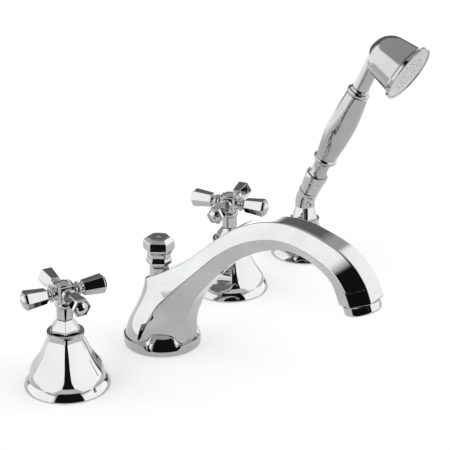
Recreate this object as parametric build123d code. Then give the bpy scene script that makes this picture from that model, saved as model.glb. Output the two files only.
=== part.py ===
from build123d import *
from math import asin, cos, radians, sin
import os

# Deck-mounted bath mixer in four units: hot valve, cold valve, spout with diverter, pull-out hand shower.
# Millimetres. +Z is up, the top of the deck is z = 0 and the spout's shank passes through the origin.
# The spout reaches along -Y, the cold valve and the hand shower stand along +X, the hot valve along -X.

# Where the units stand on the deck
hot_x = -103.0
cold_x = 116.0
valve_row_y = 15.0
shower_x = 218.0
shower_y = 3.0
hot_handle_turn = -25.4
cold_handle_turn = 13.0
hot_bell_turn = 41.5
cold_bell_turn = 48.0
shower_bell_turn = 38.0

# Fits and small gaps shared by several pieces, and half the angle that one face of a hexagon takes up
overrun = 2.0
face_half_angle = 30.0
thread_gap = 0.1
running_gap = 0.05
lift_gap = 0.3
seal_thick = 1.6
seal_width = 2.4
seal_inset = 1.5

# Pipe threads, by outside radius
thread_3_4_r = 13.22
thread_1_2_r = 10.48
thread_3_8_r = 8.33
nipple_len = 14.0
nipple_bore_r = 7.0

# Clamping under the deck
deck_thick = 20.0
clamp_washer_thick = 2.5
clamp_washer_r = 24.0
backnut_thick = 9.0
backnut_corner_r = 21.0

# Bell cover of a valve
flange_r = 34.0
flange_edge_h = 3.2
flange_crest_r = 30.4
flange_h = 7.0
bell_h = 46.8
bell_corner_r = 30.9
bell_corner_h = 15.0
bell_wall = 2.2
bell_neck_r = 14.7
bell_neck_len = 6.0
bell_lip_r = 12.5
bell_lip_depth = 2.2
bell_lip_round = 0.8
bell_hole_r = 10.8
bell_facet_shares = ((0.99, 0.0), (0.911, 0.19), (0.76, 0.40), (0.632, 0.61), (0.534, 0.82), (0.43, 1.0))

# Bonnet nut of a valve, six-sided
bonnet_corner_r = 11.8
bonnet_side_h = 5.2
bonnet_h = 12.6
bonnet_top_r = 6.4
bonnet_skirt_r = 10.6
bonnet_skirt_len = 9.0
stem_r = 4.1

# Valve body and its ceramic headwork
body_top_h = 38.0
body_shoulder_h = 8.0
body_neck_r = 9.6
body_thread_len = 60.0
body_foot_len = 16.0
outlet_drop = 46.0
valve_outlet_turn = 90.0
nipple_screw_depth = 3.5
nipple_collar_len = 3.5
nipple_collar_step = 1.1
pocket_r = 8.5
pocket_floor = -8.0
waterway_r = 5.5
headwork_wall = 1.1
headwork_top = 42.0
headwork_cap = 5.0
disc_r = 7.0
disc_thick = 3.0
disc_port_r = 1.8
disc_port_offset = 3.6
disc_film = 0.05
seat_ring_r = 6.4
seat_ring_bore_r = 4.2
seat_ring_thick = 2.2
drive_foot_r = 6.2
drive_foot_h = 4.0

# Cross handle
collar_r = 6.4
collar_h = 9.9
bead_r = 7.6
bead_h = 5.2
hub_half = 7.1
hub_h = 14.0
hub_bevel = 0.6
arm_reach = 31.9
arm_root_r = 5.3
arm_neck_r = 4.3
arm_ring_r = 6.0
arm_ring_width = 1.6
arm_hex_start = 15.2
arm_hex_inner_r = 6.3
arm_hex_outer_r = 8.1
arm_cone_len = 1.6
arm_dome_r = 6.7
arm_dome_h = 3.4
arm_dome_step = 0.5
arm_spigot_r = 2.4
arm_spigot_len = 2.6
arm_count = 4
button_r = 6.6
button_edge_h = 0.9
button_dome_h = 2.0
button_peg_r = 4.6
button_peg_len = 2.0
screw_head_r = 3.6
screw_head_h = 2.4
screw_r = 1.9
screw_len = 14.0
hub_socket_depth = 4.8

# Spout: overall reach and rise of the centre line, and the column that it springs from
spout_reach = 187.6
spout_rise = 126.4
base_r = 31.8
base_edge_h = 4.0
base_chamfer = 0.5
base_shoulder_turn = 40.0
base_shoulder_r = 22.0
base_shoulder_h = 15.0
column_h = 58.2
spout_w = 16.5
spout_half_depth = 11.6
corner_step = 0.3
# Rear of the column: radius over base radius at the height of each section below
rear_bell_shares = (0.993, 0.925, 0.71, 0.516, 0.418)
# Corners of the column's sections, half width and y over base radius, height over column height: the rear
# corner, the side corner, which lies in the plane of the other two, and the front corner. The fifth section is
# the crease behind the top face, where the column ends and the arch begins
column_shares = (
    ((0.955, 0.11, 0.0), (0.955, -0.10), (0.29, -0.915, 0.0)),
    ((0.912, 0.11, 0.24), (0.918, -0.03), (0.285, -0.905, 0.225)),
    ((0.705, 0.09, 0.50), (0.723, -0.072), (0.277, -0.921, 0.43)),
    ((0.512, 0.115, 0.755), (0.582, -0.274), (0.264, -0.98, 0.558)),
    ((0.343, 0.223, 1.0), (0.535, -0.509), (0.252, -1.079, 0.689)),
    ((0.305, -0.33, 1.175), (0.522, -0.786), (0.243, -1.195, 0.84)),
)
column_row_count = 4
# Centre line of the arch: reach over spout reach, height over spout rise
arch_path_shares = ((0.0725, 0.389), (0.188, 0.546), (0.343, 0.771), (0.506, 0.934), (0.677, 1.0),
                    (0.826, 0.957), (0.943, 0.852), (1.0, 0.699))
arch_start_share = (0.62, 0.785)
arch_end_share = (0.30, -0.954)
# Sections along the arch: place along the line, then half depth over the arch's own half depth, half widths
# of the top, the side corners and the underside over the arch's half width
arch_shares = (
    (0.155, 1.16, 0.56, 0.98, 0.45),
    (0.27, 0.99, 0.525, 0.97, 0.44),
    (0.40, 0.99, 0.49, 0.97, 0.43),
    (0.53, 1.00, 0.47, 0.97, 0.42),
    (0.66, 0.98, 0.47, 0.97, 0.42),
    (0.77, 1.03, 0.49, 0.97, 0.43),
    (0.87, 1.17, 0.515, 0.985, 0.46),
    (0.94, 1.28, 0.53, 1.00, 0.49),
    (1.0, 1.28, 0.545, 1.00, 0.515),
)
waterway_shares = (0.12, 0.32, 0.52, 0.72, 0.88, 0.985)
spout_waterway_r = 6.5

# Spout shank, mixing tee and what seals them
shank_in_spout = 13.0
shank_len = 60.0
shank_bore_r = 8.6
tee_r = 17.0
tee_h = 40.0
tee_arm_reach = 34.0
tee_turn = 90.0
tee_wall = 3.5

# Aerator in the tip
aerator_r = 14.6
aerator_out = 8.0
aerator_in = 5.0
aerator_thread_r = 12.0
aerator_bore_r = 10.6
aerator_lip_r = 9.2
aerator_lip_h = 1.4
aerator_mesh_thick = 2.0
aerator_washer_thick = 1.6
aerator_bead_round = 1.2
mesh_hole_r = 1.1
mesh_ring_shares = ((6, 0.36), (12, 0.74))

# Diverter
diverter_y = 2.5
diverter_turn = 3.6
diverter_lift = 8.0
guide_corner_r = 7.8
guide_top = 66.8
guide_tail_len = 12.0
guide_tail_r = 6.2
rod_r = 3.0
knob_h = 25.2
knob_corner_r = 12.9
# Six-sided knob from foot to shoulder: corner radius over largest, height over knob height
knob_shares = ((0.62, 0.0), (0.80, 0.10), (0.83, 0.19), (0.76, 0.29), (0.73, 0.37), (0.80, 0.47), (0.97, 0.58),
               (1.0, 0.62), (1.0, 0.875))
knob_chamfer_h = 3.2
knob_disc_r = 8.4
knob_groove_depth = 0.8
knob_groove_width = 1.0
chamber_r = 9.0
chamber_top = 34.0
seat_bore_r = 5.6
plunger_r = 7.4
plunger_thick = 3.0
plunger_seal_thick = 1.5

# Shower cover, holder and its hose way
shower_flange_r = 31.0
shower_bell_h = 33.6
shower_neck_r = 13.4
dome_corner_r = 12.9
dome_h = 12.4
dome_top_r = 9.2
holder_r = 9.1
holder_knee_h = 52.0
holder_lean = 25.1
holder_mouth = 10.0
holder_bore_r = 7.9
holder_lip_r = 9.3
holder_lip_h = 1.6
hose_way_r = 7.4
liner_thick = 0.7
liner_len = 9.0
liner_lip = 0.5
grub_r = 3.2
grub_out = 1.1
grub_socket_r = 1.5
grub_turn = 240.0
grub_h = 49.6
shower_shank_len = 46.0

# Hand shower, sizes along its own axis from the knee of the holder
cone_start = 1.0
cone_start_r = 5.9
cone_seat_r = 6.8
cone_top = 23.2
cone_foot_r = 8.8
cone_top_r = 9.9
nut_bead_top = 30.0
nut_bead_r = 10.4
hose_bore_r = 4.6
nut_socket_depth = 12.0
swivel_r = 6.2
neck_r = 7.2
neck_flare_r = 8.6
lower_ring_start = 45.6
ring_len = 5.6
lower_ring_end = lower_ring_start + ring_len
ring_r = 10.9
grip_start_r = 9.4
grip_mid_r = 12.7
grip_len = 70.8
grip_swell_share = 0.52
grip_mid = lower_ring_end + grip_swell_share * grip_len
grip_end = lower_ring_end + grip_len
grip_end_r = 10.1
top_ring_r = 10.5
top_ring_len = 7.4
top_ring_end = grip_end + top_ring_len
head_neck_r = 7.5
head_neck_waist_r = 7.3
head_neck_len = 40.4
head_cross = top_ring_end + head_neck_len
head_tilt = 3.0
head_back = 8.1
head_dome_r = 20.5
head_shoulder = 10.0
head_mouth_r = 23.7
head_mouth = 28.3
head_flare_r = 26.7
head_face = 30.6
head_rim_h = 3.1
head_wall = 2.4
face_gap = 0.2
face_thick = 5.0
face_sink = 0.6
spray_hole_r = 0.8
spray_rings = ((6, 0.22), (12, 0.42), (18, 0.62))
grip_bore_r = 5.0


# Outline and solid helpers
def outline(start, *steps):
    """A closed outline in the XZ plane: a pair of numbers is a straight step, a pair of points an arc."""
    edges = []
    here = start
    for step in steps + (start,):
        if isinstance(step[0], tuple):
            via, there = step
            edges.append(ThreePointArc((here[0], 0, here[1]), (via[0], 0, via[1]), (there[0], 0, there[1])))
        else:
            there = step
            if abs(there[0] - here[0]) + abs(there[1] - here[1]) == 0:
                continue
            edges.append(Line((here[0], 0, here[1]), (there[0], 0, there[1])))
        here = there
    return make_face(edges)


def turned(start, *steps):
    """A solid turned about the vertical axis from an outline of radius and height."""
    return revolve(outline(start, *steps), Axis.Z)


def disc(radius, low, high):
    """An upright cylinder between two heights."""
    return Pos(0, 0, low) * Cylinder(radius, high - low, align=(Align.CENTER, Align.CENTER, Align.MIN))


def ring(radius, bore, low, high):
    """An upright tube between two heights."""
    return disc(radius, low, high) - disc(bore, low - overrun, high + overrun)


def dome_side(radius, low, rise):
    """A point half-way up a round dome, seen from the side."""
    ball = (radius * radius + rise * rise) / (rise + rise)
    half = asin(radius / ball) / 2
    return ball * sin(half), low + rise - ball * (1 - cos(half))


def across(radius, start, end, turn):
    """A level cylinder from one distance to another along a direction in the deck plane."""
    bar = Cylinder(radius, end - start, align=(Align.CENTER, Align.CENTER, Align.MIN))
    return Rot(0, 0, turn) * Pos(start, 0, 0) * Rot(0, 90, 0) * bar


def hexagon(corner_r, height, turn=0):
    """A six-sided outline lying level at a height."""
    return Pos(0, 0, height) * Rot(0, 0, turn) * RegularPolygon(corner_r, 6)


def hex_prism(corner_r, low, high, turn=0):
    """An upright six-sided prism between two heights."""
    return extrude(hexagon(corner_r, low, turn), high - low)


def polygon_face(points):
    """A flat face through corner points in space."""
    return make_face(Polyline(*points, close=True))


# Pieces that more than one unit uses
def deck_seal(outer_r):
    """The flat rubber ring in the foot of a cover."""
    return ring(outer_r - seal_inset, outer_r - seal_inset - seal_width, 0, seal_thick)


def clamp_washer():
    """The plain washer that bears on the underside of the deck."""
    return ring(clamp_washer_r, thread_3_4_r + thread_gap, -deck_thick - clamp_washer_thick, -deck_thick)


def backnut():
    """The six-sided nut below the washer, with a turned chamfer on its lower corners."""
    top = -deck_thick - clamp_washer_thick
    low = top - backnut_thick
    edge = backnut_thick / 4
    flat_r = backnut_corner_r * cos(radians(face_half_angle))
    blank = turned((0, low), (flat_r, low), (backnut_corner_r, low + edge), (backnut_corner_r, top), (0, top))
    nut = hex_prism(backnut_corner_r, low, top) & blank
    return nut - disc(thread_3_4_r + thread_gap, low - overrun, top + overrun)


def bell(foot_r, height, neck_r, hole_r):
    """A six-sided bell cover: round flange, hollow body with swept facets, and a round neck with a lip."""
    scale = foot_r / flange_r
    crest_r = flange_crest_r * scale
    facet_top = height - bell_neck_len
    facet_span = facet_top - flange_h
    sides = [(share * crest_r, flange_h + up * facet_span) for share, up in bell_facet_shares]
    half = Spline(*[(r, 0, z) for r, z in sides])
    other = mirror(half, Plane.YZ)
    sheet = make_face([half, other, Line(half @ 0, other @ 0), Line(half @ 1, other @ 1)])
    slab = extrude(sheet, foot_r, dir=(0, 1, 0), both=True)
    first, second, third = [Rot(0, 0, face_half_angle * odd) * slab for odd in (1, 3, 5)]
    facets = first & second & third
    corner_r = bell_corner_r * scale
    mid_r = (corner_r + crest_r) / 2 + bell_lip_round / 2
    mid_h = (bell_corner_h + flange_h) / 2
    envelope = turned((0, flange_h), (crest_r, flange_h), ((mid_r, mid_h), (corner_r, bell_corner_h)),
                      (corner_r, facet_top), (0, facet_top))
    edge_r = foot_r - (foot_r - crest_r) / 4
    edge_h = flange_edge_h + (flange_h - flange_edge_h) * 3 / 4
    flange = turned((0, 0), (foot_r, 0), (foot_r, flange_edge_h), ((edge_r, edge_h), (crest_r, flange_h)),
                    (0, flange_h))
    neck = turned((0, facet_top - bell_neck_len), (neck_r, facet_top - bell_neck_len),
                  (neck_r, height - bell_lip_round), (neck_r - bell_lip_round, height), (0, height))
    solid = (facets & envelope) + flange + neck
    inner = [(r - bell_wall, z) for r, z in sides[:-1]]
    hollow = turned((0, -overrun), (inner[0][0], -overrun), *inner, (hole_r, facet_top - bell_wall),
                    (hole_r, height + overrun), (0, height + overrun))
    recess = disc(neck_r - (bell_neck_r - bell_lip_r), height - bell_lip_depth, height + overrun)
    seal_seat = ring(foot_r - seal_inset + thread_gap, foot_r - seal_inset - seal_width - thread_gap,
                     -overrun, seal_thick)
    return solid - hollow - recess - seal_seat


# Valve
def valve_body():
    """Brass body: threaded shank with a foot nipple for the supply, and a neck for the bonnet nut."""
    foot = -body_thread_len - body_foot_len
    body = turned((0, foot), (thread_1_2_r, foot), (thread_1_2_r, -body_thread_len),
                  (thread_3_4_r, -body_thread_len), (thread_3_4_r, body_shoulder_h),
                  (body_neck_r, body_shoulder_h + (thread_3_4_r - body_neck_r)),
                  (body_neck_r, body_top_h), (0, body_top_h))
    body -= disc(pocket_r, pocket_floor, body_top_h + overrun)
    body -= disc(waterway_r, foot - overrun, pocket_floor + overrun)
    return body


def valve_outlet_port(turn):
    """The side hole of the body that takes the outlet nipple."""
    return Pos(0, 0, -outlet_drop) * across(thread_3_8_r + thread_gap, thread_3_4_r - nipple_screw_depth,
                                            thread_3_4_r + overrun, turn) + \
        Pos(0, 0, -outlet_drop) * across(waterway_r, 0, thread_3_4_r, turn)


def outlet_nipple(turn):
    """The screwed-in side nipple, with a collar that seats on a flat of the body."""
    inner = thread_3_4_r - nipple_screw_depth + thread_gap
    face = thread_3_4_r + thread_gap
    nipple = across(thread_3_8_r, inner, face + nipple_len, turn)
    nipple += across(thread_1_2_r, face + nipple_collar_len, face + nipple_collar_len + nipple_len, turn)
    nipple += across(thread_1_2_r + nipple_collar_step, face, face + nipple_collar_len, turn)
    nipple -= across(waterway_r, inner - overrun, face + nipple_collar_len + nipple_len + overrun, turn)
    return Pos(0, 0, -outlet_drop) * nipple


def fixed_disc_top():
    """Height of the fixed disc's working face."""
    return pocket_floor + seat_ring_thick + disc_thick


def seat_ring():
    """Rubber ring under the fixed disc."""
    return ring(seat_ring_r, seat_ring_bore_r, pocket_floor, pocket_floor + seat_ring_thick)


def ceramic_disc(low):
    """A ceramic disc with two ports."""
    plate = disc(disc_r, low, low + disc_thick)
    for side in (1, -1):
        port = disc(disc_port_r, low - overrun, low + disc_thick + overrun)
        plate -= Pos(side * disc_port_offset, 0, 0) * port
    return plate


def headwork():
    """Brass sleeve that holds the discs and guides the spindle."""
    low = pocket_floor + seat_ring_thick
    outer_r = pocket_r - thread_gap
    shell = turned((0, low), (outer_r, low), (outer_r, body_top_h), (body_neck_r, body_top_h),
                   (body_neck_r, headwork_top - headwork_cap / 2), (outer_r, headwork_top), (0, headwork_top))
    shell -= disc(disc_r + thread_gap, low - overrun, headwork_top - headwork_cap)
    return shell - disc(stem_r + running_gap, low, headwork_top + overrun)


def spindle_top():
    """Height of the spindle's end inside the hub."""
    return handle_foot() + collar_h + bead_h + hub_h - hub_socket_depth - lift_gap


def spindle():
    """Spindle with the foot that drives the upper disc, drilled for the handle screw."""
    low = fixed_disc_top() + disc_film + disc_thick
    rod = disc(drive_foot_r, low, low + drive_foot_h) + disc(stem_r, low, spindle_top())
    return rod - disc(screw_r + thread_gap, spindle_top() - screw_len, spindle_top() + overrun)


def bonnet():
    """Six-sided bonnet nut that clamps the bell cover on the body."""
    low = bell_h - bell_lip_depth
    side_top = low + bonnet_side_h
    top = low + bonnet_h
    prism = hex_prism(bonnet_corner_r, low, side_top)
    upper = loft([hexagon(bonnet_corner_r, side_top), hexagon(bonnet_top_r, top)])
    skirt = disc(bonnet_skirt_r, low - bonnet_skirt_len, low)
    nut = prism + upper + skirt
    nut -= disc(body_neck_r + thread_gap, low - bonnet_skirt_len - overrun, headwork_top + lift_gap)
    return nut - disc(stem_r + running_gap, low - bonnet_skirt_len, top + overrun)


# Cross handle
def handle_foot():
    """Height of the handle's collar above the bonnet nut."""
    return bell_h - bell_lip_depth + bonnet_h + lift_gap


def arm_height():
    """Height of the arms' axes."""
    return handle_foot() + collar_h + bead_h + hub_h / 2


def handle_hub():
    """Turned collar and bead under a square block with a socket for the screw and the index button."""
    foot = handle_foot()
    bead_low = foot + collar_h
    block_low = bead_low + bead_h
    top = block_low + hub_h
    post = turned((0, foot), (collar_r, foot), (collar_r, bead_low),
                  ((bead_r, bead_low + bead_h / 2), (collar_r, block_low)), (0, block_low))
    side = hub_half + hub_half
    block = Pos(0, 0, block_low) * Box(side, side, hub_h, align=(Align.CENTER, Align.CENTER, Align.MIN))
    block = chamfer(block.edges().filter_by(Axis.Z), hub_bevel)
    hub = post + block
    hub -= disc(stem_r + running_gap, foot - overrun, spindle_top() + lift_gap)
    hub -= disc(button_peg_r + thread_gap, top - hub_socket_depth, top + overrun)
    hub -= disc(screw_r + thread_gap, spindle_top(), top)
    for index in range(arm_count):
        hole = across(arm_spigot_r + thread_gap, hub_half - arm_spigot_len - thread_gap, hub_half + overrun,
                      index * 360 / arm_count)
        hub -= Pos(0, 0, arm_height()) * hole
    return hub


def handle_arm():
    """One arm along +X: spigot, ringed neck, six-sided flare with level flats, and a domed cap."""
    hub = hub_half
    ring_low = (hub + arm_hex_start - arm_cone_len) / 2
    dome_low = arm_reach + arm_dome_step
    neck = turned((0, hub - arm_spigot_len), (arm_spigot_r, hub - arm_spigot_len), (arm_spigot_r, hub),
                  (arm_root_r, hub), (arm_neck_r, hub + arm_ring_width), (arm_neck_r, ring_low),
                  ((arm_ring_r, ring_low + arm_ring_width / 2), (arm_neck_r, ring_low + arm_ring_width)),
                  (arm_neck_r, arm_hex_start - arm_cone_len),
                  (arm_hex_inner_r * cos(radians(face_half_angle)), arm_hex_start),
                  (0, arm_hex_start))
    flare = loft([hexagon(arm_hex_inner_r, arm_hex_start, face_half_angle),
                  hexagon(arm_hex_outer_r, arm_reach, face_half_angle)])
    cap = turned((0, arm_reach), (arm_dome_r, arm_reach), (arm_dome_r, dome_low),
                 (dome_side(arm_dome_r, dome_low, arm_dome_h), (0, dome_low + arm_dome_h)))
    return Rot(0, 90, 0) * (neck + flare + cap)


def handle_arms():
    """The arms, each a separate solid, spaced evenly round the hub."""
    arm = handle_arm()
    return [Pos(0, 0, arm_height()) * Rot(0, 0, index * 360 / arm_count) * arm for index in range(arm_count)]


def handle_screw():
    """The screw that holds the hub on the spindle."""
    seat = handle_foot() + collar_h + bead_h + hub_h - hub_socket_depth
    head = turned((0, seat), (screw_head_r, seat), (screw_head_r, seat + screw_head_h / 2),
                  (screw_head_r - screw_head_h / 4, seat + screw_head_h * 3 / 4), (0, seat + screw_head_h * 3 / 4))
    return head + disc(screw_r, seat - screw_len + screw_head_h, seat)


def index_button():
    """Domed cap pressed into the top of the hub."""
    top = handle_foot() + collar_h + bead_h + hub_h
    rim = top + button_edge_h
    cap = turned((0, top), (button_r, top), (button_r, rim),
                 (dome_side(button_r, rim, button_dome_h), (0, rim + button_dome_h)))
    return cap + disc(button_peg_r, top - button_peg_len, top)


# Spout body
def arch_line():
    """The arch's centre line in the plane of symmetry."""
    points = [(0, -reach * spout_reach, up * spout_rise) for reach, up in arch_path_shares]
    start = (0, -arch_start_share[0], arch_start_share[1])
    end = (0, -arch_end_share[0], arch_end_share[1])
    return Spline(*points, tangents=[start, end])


def arch_place(share):
    """Point on the centre line, and the unit direction from it towards the upper side."""
    line = arch_line()
    along = line.tangent_at(share)
    return line.position_at(share), Vector(0, along.Z, -along.Y)


def section_face(top, side, front):
    """A six-cornered section from its three right-hand corners and their mirror images."""
    right = [top, side, front]
    left = [(-x, y, z) for x, y, z in (front, side, top)]
    return polygon_face(right + left)


def column_sections():
    """Sections of the column, from the deck to the rear end of the top face."""
    faces = []
    for (rear_w, rear_y, rear_z), (side_w, side_y), (front_w, front_y, front_z) in column_shares:
        side_z = rear_z + (front_z - rear_z) * (side_y - rear_y) / (front_y - rear_y)
        corners = ((rear_w, rear_y, rear_z), (side_w, side_y, side_z), (front_w, front_y, front_z))
        faces.append(section_face(*[(w * base_r, y * base_r, z * column_h) for w, y, z in corners]))
    return faces


def arch_sections():
    """Sections square to the centre line, from the head of the column to the tip."""
    faces = column_sections()[column_row_count:]
    for place, depth, top_w, side_w, under_w in arch_shares:
        middle, up = arch_place(place)
        half = depth * spout_half_depth
        high = middle + up * half
        low = middle - up * half
        faces.append(section_face((top_w * spout_w, high.Y, high.Z), (side_w * spout_w, middle.Y, middle.Z),
                                  (under_w * spout_w, low.Y, low.Z)))
    return faces


def spout_base():
    """The round foot with its rounded shoulder."""
    bulge_r = base_shoulder_r + (base_r - base_shoulder_r) * cos(radians(base_shoulder_turn))
    bulge_h = base_edge_h + (base_shoulder_h - base_edge_h) * sin(radians(base_shoulder_turn))
    return turned((0, 0), (base_r - base_chamfer, 0), (base_r, base_chamfer), (base_r, base_edge_h),
                  ((bulge_r, bulge_h), (base_shoulder_r, base_shoulder_h)), (0, base_shoulder_h))


def rear_bell():
    """The rounded rear of the column, a step inside the rear corners of its sections."""
    faces = []
    for (corner, _, _), rear_r in zip(column_shares, rear_bell_shares):
        w, y, z = corner[0] * base_r - corner_step, corner[1] * base_r - corner_step, corner[2] * column_h
        arc = ThreePointArc((w, y, z), (0, rear_r * base_r, z), (-w, y, z))
        faces.append(make_face([arc, Line((-w, y, z), (w, y, z))]))
    return loft(faces)


def top_slope_cut():
    """What lies above the plane of the top face, behind the head of the column."""
    rear = column_sections()[column_row_count].vertices().sort_by(Axis.Z)[-1]
    ahead = column_sections()[column_row_count + 1].vertices().sort_by(Axis.Z)[-1]
    slope = Vector(0, ahead.Y - rear.Y, ahead.Z - rear.Z).normalized()
    plane = Plane(origin=(0, rear.Y, rear.Z), x_dir=(1, 0, 0), z_dir=(0, slope.Z, -slope.Y))
    block = Box(4 * base_r, 2 * base_r, column_h, align=(Align.CENTER, Align.MIN, Align.MIN))
    return plane * block


def tip_frame():
    """The plane of the outlet: origin at the middle of the tip, z pointing out."""
    line = arch_line()
    return Plane(origin=line @ 1, x_dir=(1, 0, 0), z_dir=line % 1)


def spout_form():
    """Outer form of the spout: six-sided arch on a rounded column and a round foot."""
    column = loft(column_sections()[:column_row_count + 1])
    arch = loft(arch_sections())
    return spout_base() + (rear_bell() - top_slope_cut()) + column + arch


def spout_body():
    """Cast spout with foot cavity, diverter chamber and waterway."""
    body = outer_form
    tip = tip_frame()
    foot_cavity = turned((0, -overrun), (base_r - seal_inset - seal_width - tee_wall, -overrun),
                         (base_r - seal_inset - seal_width - tee_wall, base_edge_h),
                         (shank_in_spout + tee_wall, base_edge_h + tee_wall), (0, base_edge_h + tee_wall))
    body -= foot_cavity
    body -= disc(thread_3_4_r + thread_gap, -overrun, shank_in_spout + lift_gap)
    chamber = disc(chamber_r, shank_in_spout, chamber_top) + disc(seat_bore_r, chamber_top - overrun, column_h)
    body -= Pos(0, diverter_y, 0) * chamber
    body -= Pos(0, diverter_y, 0) * disc(guide_tail_r + thread_gap, guide_low(), guide_top)
    line = arch_line()
    start = Vector(0, diverter_y, chamber_top + spout_waterway_r)
    way = Spline(start, *[line.position_at(share) for share in waterway_shares])
    section = Plane(origin=way @ 0, x_dir=(1, 0, 0), z_dir=way % 0) * Circle(spout_waterway_r)
    body -= sweep(section, path=way)
    body -= tip * disc(aerator_thread_r + thread_gap, -aerator_in - aerator_washer_thick, overrun)
    seal_seat = ring(base_r - seal_inset + thread_gap, base_r - seal_inset - seal_width - thread_gap,
                     -overrun, seal_thick)
    return body - seal_seat


def spout_shank():
    """Threaded tube that holds the spout to the deck."""
    return ring(thread_3_4_r, shank_bore_r, -shank_len, shank_in_spout)


def mixing_tee():
    """Brass tee on the shank's foot: hot and cold enter at front and back, the shower leaves below."""
    top = -shank_len + nipple_len
    low = top - tee_h
    mid = (top + low) / 2 - overrun
    tee = disc(tee_r, low, top) + disc(thread_1_2_r, low - nipple_len, low)
    for turn in (tee_turn, tee_turn + 180):
        tee += Pos(0, 0, mid) * across(thread_1_2_r + tee_wall, 0, tee_arm_reach - nipple_len, turn)
        tee += Pos(0, 0, mid) * across(thread_1_2_r, 0, tee_arm_reach, turn)
    tee -= disc(thread_3_4_r + thread_gap, -shank_len, top + overrun)
    tee -= disc(shank_bore_r, low + tee_wall, top)
    tee -= disc(nipple_bore_r, low - nipple_len - overrun, low + tee_h / 2)
    for turn in (tee_turn, tee_turn + 180):
        tee -= Pos(0, 0, mid) * across(nipple_bore_r, 0, tee_arm_reach + overrun, turn)
    return tee


# Aerator
def aerator_housing():
    """Turned ring that screws into the tip and carries the mesh."""
    lip = aerator_out - aerator_lip_h
    body = turned((aerator_bore_r, -aerator_in), (aerator_thread_r, -aerator_in), (aerator_thread_r, lift_gap),
                  (aerator_r, lift_gap), (aerator_r, aerator_out - aerator_bead_round),
                  (aerator_r - aerator_bead_round, aerator_out), (aerator_lip_r, aerator_out), (aerator_lip_r, lip),
                  (aerator_bore_r, lip))
    return tip_frame() * body


def aerator_insert():
    """The perforated disc that breaks up the stream."""
    low = aerator_out - aerator_lip_h - aerator_mesh_thick
    high = aerator_out - aerator_lip_h
    plate = disc(aerator_bore_r - thread_gap, low, high)
    plate -= disc(mesh_hole_r, low - overrun, high + overrun)
    for count, share in mesh_ring_shares:
        for index in range(count):
            hole = Pos(share * aerator_bore_r, 0, 0) * disc(mesh_hole_r, low - overrun, high + overrun)
            plate -= Rot(0, 0, index * 360 / count) * hole
    return tip_frame() * plate


# Diverter
def guide_low():
    """Height of the guide's turned tail above the waterway."""
    return chamber_top + spout_waterway_r + spout_waterway_r


def diverter_guide():
    """Six-sided guide on the top face, with a turned tail that screws into the spout."""
    rear = guide_top - guide_corner_r - guide_corner_r
    guide = Pos(0, diverter_y, 0) * hex_prism(guide_corner_r, rear, guide_top, diverter_turn) - outer_form
    guide += Pos(0, diverter_y, 0) * disc(guide_tail_r, guide_low(), guide_top - running_gap)
    return guide - Pos(0, diverter_y, 0) * disc(rod_r + running_gap, guide_low() - overrun, guide_top + overrun)


def diverter_knob():
    """Six-sided pull knob with a waist, a chamfered head and a grooved disc on top."""
    foot = guide_top + lift_gap
    shoulder = foot + knob_shares[-1][1] * knob_h
    faces = [hexagon(share * knob_corner_r, foot + up * knob_h, diverter_turn) for share, up in knob_shares]
    body = loft(faces, ruled=True)
    top = shoulder + knob_chamfer_h
    head = hex_prism(knob_corner_r, shoulder, top, diverter_turn)
    cone = turned((0, shoulder), (knob_corner_r, shoulder), (knob_disc_r, top), (0, top))
    knob = body + (head & cone)
    knob -= ring(knob_disc_r - knob_groove_width, knob_disc_r - knob_groove_width - knob_groove_width,
                 top - knob_groove_depth, top + overrun)
    knob -= disc(rod_r + thread_gap, foot - overrun, foot + knob_h / 3)
    return Pos(0, diverter_y, 0) * knob


def plunger_low():
    """Height of the plunger with the knob down."""
    return chamber_top - diverter_lift - lift_gap - plunger_thick - plunger_seal_thick


def diverter_rod():
    """Pull rod from the knob to the plunger."""
    top = guide_top + lift_gap + knob_h / 3 - thread_gap
    return Pos(0, diverter_y, 0) * disc(rod_r, plunger_low() - plunger_thick, top)


def diverter_plunger():
    """Brass plunger at the foot of the rod."""
    return Pos(0, diverter_y, 0) * ring(plunger_r, rod_r + thread_gap, plunger_low(),
                                        plunger_low() + plunger_thick)


def diverter_seal():
    """Rubber seal that closes the way to the arch when the knob is up."""
    low = plunger_low() + plunger_thick
    return Pos(0, diverter_y, 0) * ring(plunger_r, rod_r + thread_gap, low, low + plunger_seal_thick)


# Shower holder
def lean_frame():
    """The hand shower's own axis, leaning over the bath from the knee of the holder."""
    lean = radians(holder_lean)
    return Plane(origin=(0, 0, holder_knee_h), x_dir=(1, 0, 0), z_dir=(0, -sin(lean), cos(lean)))


def shower_shank():
    """Threaded sleeve through the deck; the hose runs inside it."""
    top = shower_bell_h - bell_neck_len
    tube = disc(thread_3_4_r, -shower_shank_len, 0) + disc(body_neck_r, 0, top)
    return tube - disc(hose_way_r, -shower_shank_len - overrun, top + overrun)


def holder_dome():
    """Six-sided dome on the cover that carries the leaning socket."""
    low = shower_bell_h - bell_lip_depth
    side = shower_bell_h
    top = side + dome_h
    dome = loft([hexagon(dome_corner_r, side), hexagon(dome_top_r, top)])
    dome += disc(shower_neck_r - bell_neck_r + bell_lip_r - thread_gap, low, side)
    dome += disc(bonnet_skirt_r, low - bonnet_skirt_len, low)
    dome -= disc(body_neck_r + thread_gap, low - bonnet_skirt_len - overrun,
                 shower_bell_h - bell_neck_len + lift_gap)
    return dome - disc(hose_way_r, low - bonnet_skirt_len, top + overrun)


def bent_tube(radius, low):
    """An upright cylinder from a height to the knee, then along the hand shower's axis to the mouth."""
    knee = Pos(0, 0, holder_knee_h) * Sphere(radius)
    return disc(radius, low, holder_knee_h) + knee + lean_frame() * disc(radius, 0, holder_mouth)


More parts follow.
